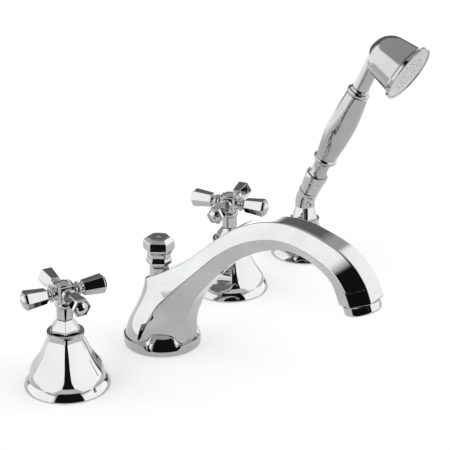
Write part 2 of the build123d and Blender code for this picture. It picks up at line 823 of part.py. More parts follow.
def holder_socket():
    """Bent tube: an upright stub on the dome and a leaning socket for the conical nut."""
    low = shower_bell_h + dome_h
    body = bent_tube(holder_r, low)
    body += lean_frame() * disc(holder_lip_r, holder_mouth - holder_lip_h, holder_mouth)
    body -= bent_tube(hose_way_r, low - overrun)
    body -= lean_frame() * disc(holder_bore_r, holder_mouth - liner_len, holder_mouth + overrun)
    side = holder_mouth * 4
    body = body & Pos(0, 0, low) * Box(side, side, side, align=(Align.CENTER, Align.CENTER, Align.MIN))
    return body - grub_place() * disc(grub_socket_r + thread_gap, grub_end() - thread_gap, overrun)


def grub_place():
    """Where the grub screw sits on the upright stub, pointing outwards."""
    turn = radians(grub_turn)
    out = Vector(cos(turn), sin(turn), 0)
    return Plane(origin=Vector(0, 0, grub_h) + out * holder_r, x_dir=(0, 0, 1), z_dir=out)


def grub_end():
    """Depth of the grub screw's tip below the socket's surface."""
    return (hose_way_r - holder_r) / 2


def holder_grub():
    """Round-headed screw that locks the socket on the dome."""
    head = turned((0, -grub_out), (grub_r, -grub_out), (grub_r, grub_out / 2),
                  (dome_side(grub_r, grub_out / 2, grub_out / 2), (0, grub_out)))
    head = grub_place() * head - bent_tube(holder_r, 0)
    return head + grub_place() * disc(grub_socket_r, grub_end(), grub_out / 2)


def holder_liner():
    """Plastic liner in the socket's mouth, tapered like the nut that sits in it."""
    low = holder_mouth - liner_len
    taper = cone_seat_r + lift_gap
    foot = cone_start_r + lift_gap + (cone_seat_r - cone_start_r) * (low - cone_start) / (holder_mouth - cone_start)
    outer = holder_bore_r - thread_gap
    return lean_frame() * turned((foot, low), (outer, low), (outer, holder_mouth), (taper, holder_mouth))


# Hand shower, along its own axis
def hose_nut():
    """Conical nut on the hose's end: it seats in the liner, and the hand shower turns in it."""
    seat = holder_mouth + lift_gap
    bead = (cone_top + nut_bead_top) / 2
    body = turned((0, cone_start), (cone_start_r, cone_start), (cone_seat_r, seat), (cone_foot_r, seat),
                  (cone_top_r, cone_top), ((nut_bead_r, bead), (cone_top_r, nut_bead_top)), (0, nut_bead_top))
    body -= disc(hose_bore_r, cone_start - overrun, nut_bead_top + overrun)
    body -= disc(swivel_r + running_gap, nut_bead_top - nut_socket_depth, nut_bead_top + overrun)
    return lean_frame() * body


def handset_connector():
    """Waisted neck with the lower ring of the grip and a tail that turns in the nut."""
    low = nut_bead_top + lift_gap
    tail = nut_bead_top - nut_socket_depth + lift_gap
    waist = (low + lower_ring_start) / 2
    ring_mid = (lower_ring_start + lower_ring_end) / 2
    body = turned((0, tail), (swivel_r, tail), (swivel_r, low), (neck_flare_r, low),
                  ((neck_r, waist), (neck_flare_r, lower_ring_start)),
                  ((ring_r, ring_mid), (grip_start_r, lower_ring_end)), (0, lower_ring_end))
    return lean_frame() * (body - disc(hose_bore_r, tail - overrun, lower_ring_end + overrun))


def handset_grip():
    """The swelling grip, hollow for the water tube."""
    low = lower_ring_end
    side = Spline((grip_start_r, 0, low), (grip_mid_r, 0, grip_mid), (grip_end_r, 0, grip_end))
    face = make_face([side, Line((grip_end_r, 0, grip_end), (grip_bore_r, 0, grip_end)),
                      Line((grip_bore_r, 0, grip_end), (grip_bore_r, 0, low)),
                      Line((grip_bore_r, 0, low), (grip_start_r, 0, low))])
    return lean_frame() * revolve(face, Axis.Z)


def top_ring():
    """The bead between the grip and the neck of the head."""
    mid = (grip_end + top_ring_end) / 2
    body = turned((grip_bore_r, grip_end), (grip_end_r, grip_end), ((top_ring_r, mid), (head_neck_r, top_ring_end)),
                  (grip_bore_r, top_ring_end))
    return lean_frame() * body


def head_frame():
    """The head's axis: origin where it crosses the grip's axis, z towards the spray, tilted a little down."""
    tilt = radians(head_tilt)
    return lean_frame() * Plane(origin=(0, 0, head_cross), x_dir=(1, 0, 0), z_dir=(0, -cos(tilt), -sin(tilt)))


def head_cup(inset, face):
    """The head's form, drawn in by an inset: domed back, widening barrel, short flare and rim."""
    dome_r = head_dome_r - inset
    back = inset - head_back
    mouth_r = head_mouth_r - inset
    rim_r = head_flare_r - inset
    flare_via = (mouth_r + (rim_r - mouth_r) / 3, (head_mouth + head_face) / 2)
    return turned((0, back), (dome_side(dome_r, head_shoulder, back - head_shoulder), (dome_r, head_shoulder)),
                  (mouth_r, head_mouth), (flare_via, (rim_r, head_face)), (rim_r, face), (0, face))


def handset_head():
    """Neck and hollow head shell."""
    frame = head_frame()
    neck_top = head_cross - head_dome_r / 2
    neck_mid = (top_ring_end + neck_top) / 2
    neck = lean_frame() * turned((0, top_ring_end), (head_neck_r, top_ring_end),
                                 ((head_neck_waist_r, neck_mid), (head_neck_r, neck_top)), (0, neck_top))
    shell = frame * head_cup(0, head_face + head_rim_h) + neck
    hollow = frame * head_cup(head_wall, head_face + head_rim_h + overrun)
    return shell - hollow - lean_frame() * disc(hose_bore_r, top_ring_end - overrun, head_cross)


def spray_face():
    """Spray plate with rings of holes, set a little inside the rim."""
    outer = head_flare_r - head_wall - face_gap
    high = head_face + head_rim_h - face_sink
    low = high - face_thick
    plate = disc(outer, head_face, high) + disc(head_mouth_r - head_wall - face_gap, low, head_face)
    for count, share in spray_rings:
        for index in range(count):
            hole = Pos(share * outer, 0, 0) * disc(spray_hole_r, low - overrun, high + overrun)
            plate -= Rot(0, 0, index * 360 / count) * hole
    return head_frame() * plate


# Writing each piece as a node
os.makedirs("parts", exist_ok=True)


def write(name, shape, place=Location()):
    """Save one node at its place; a list of solids becomes one node."""
    solids = shape if isinstance(shape, list) else shape.solids()
    moved = [place * solid for solid in solids]
    if len(moved) == 1:
        export_step(moved[0], f"parts/{name}.step")
    else:
        export_step(Compound(children=moved), f"parts/{name}.step")


def write_valve(name, x, bell_turn, handle_turn):
    """All the pieces of one valve."""
    stand = Location((x, valve_row_y, 0))
    bell_stand = stand * Rot(0, 0, bell_turn)
    handle_stand = stand * Rot(0, 0, handle_turn)
    low_disc = pocket_floor + seat_ring_thick
    write(f"{name}_bell_cover", bell(flange_r, bell_h, bell_neck_r, bell_hole_r), bell_stand)
    write(f"{name}_deck_seal", deck_seal(flange_r), stand)
    write(f"{name}_valve_body", valve_body() - valve_outlet_port(valve_outlet_turn), stand)
    write(f"{name}_outlet_nipple", outlet_nipple(valve_outlet_turn), stand)
    write(f"{name}_clamp_washer", clamp_washer(), stand)
    write(f"{name}_backnut", backnut(), stand)
    write(f"{name}_seat_ring", seat_ring(), stand)
    write(f"{name}_fixed_disc", ceramic_disc(low_disc), stand)
    write(f"{name}_headwork", headwork(), stand)
    write(f"{name}_bonnet_nut", bonnet(), bell_stand)
    write(f"{name}_turning_disc", ceramic_disc(fixed_disc_top() + disc_film), handle_stand)
    write(f"{name}_spindle", spindle(), handle_stand)
    write(f"{name}_handle_hub", handle_hub(), handle_stand)
    write(f"{name}_handle_arms", handle_arms(), handle_stand)
    write(f"{name}_handle_screw", handle_screw(), handle_stand)
    write(f"{name}_index_button", index_button(), handle_stand)


def write_spout():
    """All the pieces of the spout and its diverter."""
    write("spout_body", spout_body())
    write("spout_deck_seal", deck_seal(base_r))
    write("spout_shank", spout_shank())
    write("spout_clamp_washer", clamp_washer())
    write("spout_backnut", backnut())
    write("mixing_tee", mixing_tee())
    write("aerator_housing", aerator_housing())
    write("aerator_insert", aerator_insert())
    write("diverter_guide", diverter_guide())
    write("diverter_knob", diverter_knob())
    write("diverter_rod", diverter_rod())
    write("diverter_plunger", diverter_plunger())
    write("diverter_seal", diverter_seal())


def write_shower():
    """All the pieces of the holder and the hand shower."""
    stand = Location((shower_x, shower_y, 0))
    bell_stand = stand * Rot(0, 0, shower_bell_turn)
    write("shower_bell_cover", bell(shower_flange_r, shower_bell_h, shower_neck_r, bell_hole_r), bell_stand)
    write("shower_deck_seal", deck_seal(shower_flange_r), stand)
    write("shower_shank", shower_shank(), stand)
    write("shower_clamp_washer", clamp_washer(), stand)
    write("shower_backnut", backnut(), stand)
    write("holder_dome", holder_dome(), bell_stand)
    write("holder_socket", holder_socket(), stand)
    write("holder_grub_screw", holder_grub(), stand)
    write("holder_liner", holder_liner(), stand)
    write("hose_nut", hose_nut(), stand)
    write("handset_connector", handset_connector(), stand)
    write("handset_grip", handset_grip(), stand)
    write("handset_top_ring", top_ring(), stand)
    write("handset_head", handset_head(), stand)
    write("spray_face", spray_face(), stand)


outer_form = spout_form()
write_valve("hot", hot_x, hot_bell_turn, hot_handle_turn)
write_valve("cold", cold_x, cold_bell_turn, cold_handle_turn)
write_spout()
write_shower()
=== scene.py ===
"""Looks of a deck-mounted bath mixer: two cross-handle valves, an arched spout and a hand shower in its holder.

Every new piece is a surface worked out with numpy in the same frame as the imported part, and stands for the CAD
node of the same name. Pieces that only show below the deck or inside a bore keep their CAD mesh and get a finish.

Lengths are in millimetres unless a line says metres, and a mesh is turned into metres when it is made. A corner of
an outline is given as its radius, its height and the size of its rounding.
"""

import logging
import math
from dataclasses import dataclass, field, replace
from enum import Enum
from typing import Optional, Sequence

import bpy
import numpy as np
from mathutils import Matrix


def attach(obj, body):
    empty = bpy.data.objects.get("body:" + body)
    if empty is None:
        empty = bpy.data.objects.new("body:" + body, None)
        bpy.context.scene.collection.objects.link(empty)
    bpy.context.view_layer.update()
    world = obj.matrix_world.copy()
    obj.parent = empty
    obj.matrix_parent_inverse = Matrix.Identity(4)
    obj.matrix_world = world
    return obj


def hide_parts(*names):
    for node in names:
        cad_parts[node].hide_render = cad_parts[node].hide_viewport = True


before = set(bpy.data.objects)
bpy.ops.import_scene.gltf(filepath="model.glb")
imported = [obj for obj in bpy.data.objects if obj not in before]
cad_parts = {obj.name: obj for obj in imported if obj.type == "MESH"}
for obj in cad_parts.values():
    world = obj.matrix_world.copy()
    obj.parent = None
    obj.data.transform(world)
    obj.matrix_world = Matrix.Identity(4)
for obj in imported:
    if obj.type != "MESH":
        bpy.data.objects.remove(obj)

log = logging.getLogger("bath_mixer")
MM = 0.001
SIDES = 6
HALF_FACE = math.pi / SIDES
FULL_TURN = 2 * math.pi
ONE_POINT = 1e-5  # spread of a row that counts as one point
NO_STEP = 1e-4  # step of an outline that is left out, and least radius to divide by
ON_THREAD = 1e-3  # distance from a thread's radius that counts as on it
ROUND_LIMIT = 0.42  # share of a side that a rounding of an outline takes at most
EDGE_LIMIT = 0.3  # share of a side that a rounding of a carried section takes at most
CORNER_LIMIT = 0.9  # share of the apothem that a hexagon's corner radius takes at most
GUARD = 1.15  # place of the point beside a rounding, over the rounding's size
FLAT_START = (0.03, 0.12)  # first two columns beside a hexagon's corner, over half a face
FLAT_COLUMNS = (0.02, 0.1, 0.25, 0.42, 0.58, 0.75, 0.9, 0.98)  # columns between two roundings of a section
SHARP = math.radians(42.0)  # bend from which an edge is shaded sharp
SEAM = 0.1  # step between the end and the start of an outline that closes on itself


class Body(Enum):
    """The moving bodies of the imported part."""

    DECK = "deck_fixed"
    HOT = "hot_handle"
    COLD = "cold_handle"
    DIVERTER = "diverter"
    NUT = "nut"
    HANDSET = "hand_shower"


class Slot(Enum):
    """The record's material slots."""

    CHROME = "chrome_plate"
    BRASS = "brass_plain"
    RUBBER = "rubber_black"
    CERAMIC = "ceramic_white"
    PLASTIC = "plastic_light"
    STEEL = "steel_plain"


# ------------------------------------------------- Surfaces -------------------------------------------------


@dataclass
class Surface:
    """A closed surface in millimetres.

    Args:
        points: corner places, one row each.
        faces: corner numbers, four to a face; a triangle repeats its last corner.
    """

    points: np.ndarray
    faces: np.ndarray

    def moved(self, place: np.ndarray) -> "Surface":
        """The surface carried to another place.

        Args:
            place: 4 by 4 matrix, a turn and a shift.

        Returns:
            A new surface.
        """
        return Surface(self.points @ place[:3, :3].T + place[:3, 3], self.faces)

    def outward(self) -> "Surface":
        """The surface with its faces turned outwards, told by the sign of the volume that they enclose.

        Returns:
            The same surface, or one with every face turned round.
        """
        a, b, c, d = (self.points[self.faces[:, i]] for i in range(4))
        volume = np.einsum("ij,ij->", a, np.cross(b, c)) + np.einsum("ij,ij->", a, np.cross(c, d))
        return self if volume > 0 else Surface(self.points, self.faces[:, ::-1])


def grid_surface(grid: np.ndarray, ring_of_rows: bool = False) -> Surface:
    """A closed surface over a grid of points: rows follow each other, columns run round.

    Each face joins point (row, column) to its neighbours, the last column to the first. Unless the rows form a
    ring too, each end is closed by a fan of triangles round the middle of its row, or round the row itself where
    that is already one point.

    Args:
        grid: places, shape (rows, columns, 3).
        ring_of_rows: whether the last row joins the first.

    Returns:
        The surface, facing outwards.
    """
    if not ring_of_rows:
        if np.ptp(grid[0], axis=0).max() < ONE_POINT:
            grid = grid[1:]
        if np.ptp(grid[-1], axis=0).max() < ONE_POINT:
            grid = grid[:-1]
    rows, columns = grid.shape[:2]
    number = np.arange(rows * columns).reshape(rows, columns)
    ahead = np.roll(number, -1, axis=1)
    if ring_of_rows:
        above, above_ahead = np.roll(number, -1, axis=0), np.roll(ahead, -1, axis=0)
        quads = np.stack([number, ahead, above_ahead, above], axis=-1).reshape(-1, 4)
        return Surface(grid.reshape(-1, 3), quads).outward()
    quads = np.stack([number[:-1], ahead[:-1], ahead[1:], number[1:]], axis=-1).reshape(-1, 4)
    poles = np.stack([grid[0].mean(axis=0), grid[-1].mean(axis=0)])
    low, high = rows * columns, rows * columns + 1
    foot = np.stack([ahead[0], number[0], np.full(columns, low), np.full(columns, low)], axis=-1)
    head = np.stack([number[-1], ahead[-1], np.full(columns, high), np.full(columns, high)], axis=-1)
    return Surface(np.concatenate([grid.reshape(-1, 3), poles]), np.concatenate([quads, foot, head])).outward()


def parabola(before: np.ndarray, corner: np.ndarray, after: np.ndarray, steps: int) -> np.ndarray:
    """Points on the parabola between two places whose end tangents meet in a corner.

    Args:
        before: first places, any shape whose last axis holds the coordinates.
        corner: corners.
        after: last places.
        steps: straight pieces.

    Returns:
        The points, on a new axis before the last.
    """
    t = np.linspace(0.0, 1.0, steps + 1)[:, None]
    before, corner, after = (np.expand_dims(p, -2) for p in (before, corner, after))
    return (1 - t) ** 2 * before + 2 * t * (1 - t) * corner + t ** 2 * after


def softened(points: Sequence[Sequence[float]], steps: int = 5) -> np.ndarray:
    """An outline whose corners are rounded.

    A corner becomes the parabola that touches both of its sides at the given distance from it. A further point
    beside each end of the rounding keeps the straight runs flat when they are shaded.

    Args:
        points: radius, height and rounding distance of each corner.
        steps: straight pieces in each rounding.

    Returns:
        Radius and height of each point of the outline.
    """
    table = np.asarray(points, float)
    place, reach = table[:, :2], table[1:-1, 2]
    run = np.diff(place, axis=0)
    length = np.linalg.norm(run, axis=1, keepdims=True)
    unit = run / np.maximum(length, NO_STEP)
    size = np.minimum(reach, ROUND_LIMIT * np.minimum(length[:-1, 0], length[1:, 0]))[:, None]
    corner, back, ahead = place[1:-1], unit[:-1] * size, unit[1:] * size
    bend = parabola(corner - back, corner, corner + ahead, steps)
    lead, trail = (corner - back * GUARD)[:, None], (corner + ahead * GUARD)[:, None]
    path = np.concatenate([place[:1], np.concatenate([lead, bend, trail], axis=1).reshape(-1, 2), place[-1:]])
    keep = np.concatenate([[True], np.linalg.norm(np.diff(path, axis=0), axis=1) > NO_STEP])
    return path[keep]


def arc(start: Sequence[float], via: Sequence[float], end: Sequence[float], steps: int = 14) -> np.ndarray:
    """Points on the circle through three places, from the first to the last.

    Args:
        start: first place, radius and height.
        via: a place on the way.
        end: last place.
        steps: straight pieces.

    Returns:
        Radius, height and zero rounding of each point, for softened().
    """
    a, b, c = (np.asarray(p, float) for p in (start, via, end))
    matrix = 2 * np.array([b - a, c - a])
    centre = np.linalg.solve(matrix, [b @ b - a @ a, c @ c - a @ a])
    first, middle, last = (math.atan2(*(p - centre)[::-1]) for p in (a, b, c))
    turn = (last - first) % FULL_TURN
    if (middle - first) % FULL_TURN > turn:
        turn -= FULL_TURN
    angle = first + turn * np.linspace(0.0, 1.0, steps + 1)
    radius = np.linalg.norm(a - centre)
    return np.stack([centre[0] + radius * np.cos(angle), centre[1] + radius * np.sin(angle), 0 * angle], axis=-1)


def dome(radius: float, low: float, rise: float, steps: int = 14) -> np.ndarray:
    """A round dome in outline, from its rim to its crown.

    Args:
        radius: radius of the rim.
        low: height of the rim.
        rise: height of the crown over the rim.
        steps: straight pieces.

    Returns:
        Radius, height and zero rounding of each point.
    """
    ball = (radius * radius + rise * rise) / (2 * rise)
    half = math.asin(min(1.0, radius / ball)) / 2
    return arc((radius, low), (ball * math.sin(half), low + rise - ball * (1 - math.cos(half))), (0, low + rise), steps)


def smooth_curve(knots: np.ndarray, places: np.ndarray, samples: np.ndarray,
                 ends: Optional[Sequence[np.ndarray]] = None) -> np.ndarray:
    """The cubic spline through places given at knots.

    The slopes at the knots solve the usual linear system for equal curvature on both sides of each knot. Without
    given end slopes, the curve has no curvature at its ends.

    Args:
        knots: increasing numbers, one per place.
        places: values at the knots, first axis along the knots.
        samples: numbers at which the curve is wanted.
        ends: slopes at the first and last knot.

    Returns:
        Values at the samples.
    """
    count = len(knots)
    flat = places.reshape(count, -1)
    gap = np.diff(knots)
    system = np.zeros((count, count))
    right = np.zeros_like(flat)
    inner = np.arange(1, count - 1)
    system[inner, inner - 1] = gap[1:]
    system[inner, inner] = 2 * (gap[:-1] + gap[1:])
    system[inner, inner + 1] = gap[:-1]
    rate = np.diff(flat, axis=0) / gap[:, None]
    right[1:-1] = 3 * (rate[:-1] * gap[1:, None] + rate[1:] * gap[:-1, None])
    if ends is None:
        system[0, :2], system[-1, -2:] = (2, 1), (1, 2)
        right[0], right[-1] = 3 * rate[0], 3 * rate[-1]
    else:
        system[0, 0] = system[-1, -1] = 1
        right[0], right[-1] = np.ravel(ends[0]), np.ravel(ends[1])
    slope = np.linalg.solve(system, right)
    index = np.clip(np.searchsorted(knots, samples, side="right") - 1, 0, count - 2)
    h = gap[index][:, None]
    t = ((samples - knots[index])[:, None]) / h
    value = ((1 + 2 * t) * (1 - t) ** 2 * flat[index] + t * (1 - t) ** 2 * h * slope[index]
             + t ** 2 * (3 - 2 * t) * flat[index + 1] + t ** 2 * (t - 1) * h * slope[index + 1])
    return value.reshape((len(samples),) + places.shape[1:])


def circle(columns: int) -> np.ndarray:
    """Angles of columns spaced evenly round the axis."""
    return np.linspace(0.0, FULL_TURN, columns, endpoint=False)


def polar(radius: np.ndarray, angle: np.ndarray, z: np.ndarray) -> np.ndarray:
    """Places (r cos a, r sin a, z) for radii, angles and heights whose shapes spread over each other."""
    return np.stack(np.broadcast_arrays(radius * np.cos(angle), radius * np.sin(angle), z), axis=-1)


def walked(path: np.ndarray) -> np.ndarray:
    """Length walked along a path at each of its points, from zero at the first."""
    return np.concatenate([[0.0], np.cumsum(np.linalg.norm(np.diff(path, axis=0), axis=1))])


def turned(outline: np.ndarray, columns: int = 96, ring_of_rows: bool = False) -> Surface:
    """A surface of revolution: (r cos a, r sin a, z) for each outline point and angle, closed round a bore if asked."""
    return grid_surface(polar(outline[:, :1], circle(columns), outline[:, 1:]), ring_of_rows)


def polygon_sweep(apothem: np.ndarray, corner: float | np.ndarray, flats: int = 9,
                  bends: int = 4) -> tuple[np.ndarray, np.ndarray]:
    """Angle and radius round a hexagon with rounded corners, for each of several apothems.

    Near a corner the radius is that of a circle set back on the corner's own line; elsewhere it is the apothem
    over the cosine of the angle from the face's middle. The columns are closest at the corners.

    Args:
        apothem: distances from the axis to the faces, one per row.
        corner: radius of the rounded corners, one for all rows or one per row.
        flats: columns on the flat of half a face.
        bends: columns on half a corner.

    Returns:
        Angles and radii, each of shape (rows, columns); the first corner is at angle zero.
    """
    a = np.maximum(apothem, NO_STEP)[:, None]
    rho = np.minimum(np.reshape(corner, (-1, 1)), CORNER_LIMIT * a)
    back = (a - rho) / math.cos(HALF_FACE)
    edge = np.arctan2(rho * math.sin(HALF_FACE), back + rho * math.cos(HALF_FACE))
    bent = edge * np.linspace(0.0, 1.0, bends + 1)
    bent_r = back * np.cos(bent) + np.sqrt(np.maximum(rho ** 2 - (back * np.sin(bent)) ** 2, 0))
    flat = edge + (HALF_FACE - edge) * np.concatenate([FLAT_START[:1], np.linspace(FLAT_START[1], 1.0, flats)])
    angle = np.concatenate([bent, flat], axis=1)
    radius = np.concatenate([bent_r, a / np.cos(HALF_FACE - flat)], axis=1)
    face = np.concatenate([angle, 2 * HALF_FACE - angle[:, -2:0:-1]], axis=1)
    face_r = np.concatenate([radius, radius[:, -2:0:-1]], axis=1)
    turns = 2 * HALF_FACE * np.arange(SIDES)
    return (face[:, None] + turns[:, None]).reshape(len(a), -1), np.tile(face_r, (1, SIDES))


def faceted(outline: np.ndarray, corner: float) -> Surface:
    """A surface whose sections are rounded hexagons, from corner radius and height; its first edge is at angle zero."""
    angle, radius = polygon_sweep(outline[:, 0] * math.cos(HALF_FACE), corner)
    return grid_surface(polar(radius, angle, outline[:, 1:]))


def edged(corners: np.ndarray, size: float, steps: int = 5) -> Surface:
    """A closed surface over rows of corners, with the edges that the corners trace rounded.

    Each side of a row is straight between roundings; a rounding is the parabola that touches both of its sides
    at the given distance from the corner.

    Args:
        corners: places, shape (rows, corners, 3).
        size: rounding distance.
        steps: straight pieces in each rounding.

    Returns:
        The surface.
    """
    run = np.roll(corners, -1, axis=1) - corners
    length = np.linalg.norm(run, axis=2, keepdims=True)
    unit = run / length
    reach = np.minimum(size, EDGE_LIMIT * np.minimum(length, np.roll(length, 1, axis=1)))
    before, after = corners - np.roll(unit, 1, axis=1) * reach, corners + unit * reach
    s = np.array(FLAT_COLUMNS)[:, None]
    flat = after[:, :, None] * (1 - s) + np.roll(before, -1, axis=1)[:, :, None] * s
    rows = np.concatenate([parabola(before, corners, after, steps), flat], axis=2)
    return grid_surface(rows.reshape(len(corners), -1, 3))


def least(a: np.ndarray, b: np.ndarray, soft: float) -> np.ndarray:
    """The smaller of two values, with a rounding of the given size where they cross."""
    return 0.5 * (a + b - np.sqrt((a - b) ** 2 + soft ** 2))


def most(a: np.ndarray, b: np.ndarray, soft: float) -> np.ndarray:
    """The larger of two values, with a rounding of the given size where they cross."""
    return 0.5 * (a + b + np.sqrt((a - b) ** 2 + soft ** 2))


def dense(outline: np.ndarray, step: float) -> np.ndarray:
    """An outline with points added so that none is further than a step from the next along the outline."""
    run = walked(outline)
    extra = np.unique(np.concatenate([run, np.arange(0.0, run[-1], step)]))
    return np.stack([np.interp(extra, run, outline[:, i]) for i in range(2)], axis=-1)


def shift(x: float, y: float, z: float) -> np.ndarray:
    """The matrix of a shift in millimetres."""
    place = np.eye(4)
    place[:3, 3] = (x, y, z)
    return place


def spin(degrees: float, axis: str = "Z") -> np.ndarray:
    """The matrix of a turn about a row axis through the origin."""
    return np.array(Matrix.Rotation(math.radians(degrees), 4, axis))


def seat(origin: Sequence[float], z_axis: Sequence[float], x_axis: Sequence[float] = (1.0, 0.0, 0.0)) -> np.ndarray:
    """The place with a given origin and axes.

    Args:
        origin: where it is.
        z_axis: direction of its Z axis, of any length.
        x_axis: its X axis, square to the other and of length 1.

    Returns:
        The 4 by 4 matrix.
    """
    z = np.asarray(z_axis, float) / np.linalg.norm(z_axis)
    place = np.eye(4)
    place[:3] = np.stack([x_axis, np.cross(z, x_axis), z, origin], axis=1)
    return place


# ------------------------------------------------- Finishes -------------------------------------------------


NOISE_CORE = (0.35, 0.65)  # span of a noise that most of it lies in
NOISE_WIDE = (0.3, 0.7)  # span of a noise that nearly all of it lies in
WHOLE = (0.0, 1.0)
WHITE = (1.0, 1.0, 1.0, 1.0)
EVEN = (1.0, 1.0, 1.0)


@dataclass(frozen=True)
class Grain:
    """A noise pattern over Object coordinates.

    Args:
        scale: waves to a metre.
        detail: finer waves added.
        height: metres between its valleys and crests, where it makes a bump.
        roughness: strength of the finer waves.
        stretch: scale along each axis, under 1 where the pattern is drawn out.
    """

    scale: float
    detail: float
    height: float = 0.0
    roughness: float = 0.5
    stretch: tuple = EVEN


class Wiring:
    """The node tree of one material or world, with short ways to add and join nodes."""

    def __init__(self, owner: bpy.types.Material | bpy.types.World) -> None:
        """Turns on the nodes of a material or world and takes them all out."""
        owner.use_nodes = True
        self.tree = owner.node_tree
        self.tree.nodes.clear()

    def add(self, kind: str, values: Optional[dict] = None, **settings: object) -> bpy.types.Node:
        """A new node.

        Args:
            kind: type of the node, without the word Node in front.
            values: input names or numbers with a value, or an output socket to join.
            settings: the node's own settings.

        Returns:
            The node.
        """
        node = self.tree.nodes.new("ShaderNode" + kind)
        for name, value in settings.items():
            setattr(node, name, value)
        for name, value in (values or {}).items():
            if isinstance(value, bpy.types.NodeSocket):
                self.tree.links.new(value, node.inputs[name])
            else:
                node.inputs[name].default_value = value
        return node

    def math(self, operation: str, *values: object) -> bpy.types.NodeSocket:
        """The output of a Math node over numbers or sockets."""
        return self.add("Math", dict(enumerate(values)), operation=operation).outputs[0]

    def scaled(self, value: bpy.types.NodeSocket, old: tuple, new: tuple, kind: str = "LINEAR") -> bpy.types.NodeSocket:
        """The output of a Map Range node from one span to another, held within it."""
        spans = {"Value": value, 1: old[0], 2: old[1], 3: new[0], 4: new[1]}
        return self.add("MapRange", spans, interpolation_type=kind).outputs[0]

    def noise(self, grain: Grain) -> bpy.types.NodeSocket:
        """A noise value over Object coordinates.

        Args:
            grain: the pattern.

        Returns:
            The noise's value.
        """
        where = self.add("TexCoord").outputs["Object"]
        if grain.stretch != EVEN:
            where = self.add("Mapping", {"Vector": where, "Scale": grain.stretch}).outputs[0]
        values = {"Vector": where, "Scale": grain.scale, "Detail": grain.detail, "Roughness": grain.roughness}
        return self.add("TexNoise", values).outputs[0]

    def blend(self, share: bpy.types.NodeSocket, first: tuple, second: tuple) -> bpy.types.NodeSocket:
        """A colour between two, by a share from zero to one."""
        node = self.add("Mix", {"Factor": share, 6: first + (1.0,), 7: second + (1.0,)}, data_type="RGBA")
        return node.outputs[2]

    def bump(self, height: bpy.types.NodeSocket, distance: float,
             under: Optional[bpy.types.NodeSocket] = None) -> bpy.types.NodeSocket:
        """A bumped normal.

        Args:
            height: height as a share of the distance.
            distance: metres.
            under: a normal that is bumped already.

        Returns:
            The new normal.
        """
        values = {"Height": height, "Distance": distance, "Strength": 1.0}
        if under is not None:
            values["Normal"] = under
        return self.add("Bump", values).outputs[0]


@dataclass(frozen=True)
class Finish:
    """What every finish has: a name and the record's slot."""

    name: str
    slot: Slot

    def look(self, wiring: Wiring) -> dict:
        """Adds the nodes that the look needs.

        Args:
            wiring: the material's tree.

        Returns:
            Inputs of the main shader, each with a value or an output socket.
        """
        raise NotImplementedError

    def material(self) -> bpy.types.Material:
        """The finish as a material, made once.

        Returns:
            The material.
        """
        made = bpy.data.materials.get(self.name)
        if made is None:
            made = bpy.data.materials.new(self.name)
            wiring = Wiring(made)
            shader = wiring.add("BsdfPrincipled", self.look(wiring))
            wiring.add("OutputMaterial", {"Surface": shader.outputs[0]})
        return made


@dataclass(frozen=True)
class ChromePlate(Finish):
    """Bright chrome over polished brass: clean reflections, a faint casting wave and a breath of polishing haze."""

    wave: Grain = Grain(38.0, 1.0, 1.2e-5)
    haze: tuple = (0.022, 0.06)
    bright: tuple = (0.475, 0.478, 0.482)
    dull: tuple = (0.435, 0.437, 0.441)
    clouds: Grain = Grain(26.0, 3.0)
    smears: Grain = Grain(310.0, 5.0)
    scratches: Grain = Grain(1900.0, 3.0, 2.5e-7)

    def look(self, wiring: Wiring) -> dict:
        """Metal whose colour follows slow clouds and whose roughness follows smears, under a wave and scratches.

        Args:
            wiring: the material's tree.

        Returns:
            Inputs of the main shader.
        """
        cloud = wiring.scaled(wiring.noise(self.clouds), NOISE_CORE, WHOLE)
        wave = wiring.bump(wiring.noise(self.wave), self.wave.height)
        return {"Base Color": wiring.blend(cloud, self.dull, self.bright), "Metallic": 1.0,
                "Roughness": wiring.scaled(wiring.noise(self.smears), NOISE_WIDE, self.haze),
                "Normal": wiring.bump(wiring.noise(self.scratches), self.scratches.height, wave)}


@dataclass(frozen=True)
class TurnedBrass(Finish):
    """Unplated brass off the lathe: fine rings round the upright axis and a patchy, darkened skin."""

    clean: tuple = (0.78, 0.57, 0.27)
    dark: tuple = (0.50, 0.33, 0.15)
    rings: Grain = Grain(950.0, 2.0, 1.2e-5, stretch=(0.02, 0.02, 1.0))
    skin: Grain = Grain(70.0, 5.0, roughness=0.6)
    skin_span: tuple = (0.42, 0.72)
    grit: Grain = Grain(600.0, 4.0, 6e-6)
    ring_share: float = 0.5
    rough_span: tuple = (0.5, 1.1)
    rough: tuple = (0.22, 0.46)

    def look(self, wiring: Wiring) -> dict:
        """Metal whose rings are noise squeezed along the axis, and whose roughness adds them to the skin.

        Args:
            wiring: the material's tree.

        Returns:
            Inputs of the main shader.
        """
        rings, skin = wiring.noise(self.rings), wiring.noise(self.skin)
        worn = wiring.math("ADD", skin, wiring.math("MULTIPLY", rings, self.ring_share))
        grit = wiring.bump(wiring.noise(self.grit), self.grit.height)
        return {"Base Color": wiring.blend(wiring.scaled(skin, self.skin_span, WHOLE), self.clean, self.dark),
                "Metallic": 1.0, "Roughness": wiring.scaled(worn, self.rough_span, self.rough),
                "Normal": wiring.bump(rings, self.rings.height, grit)}


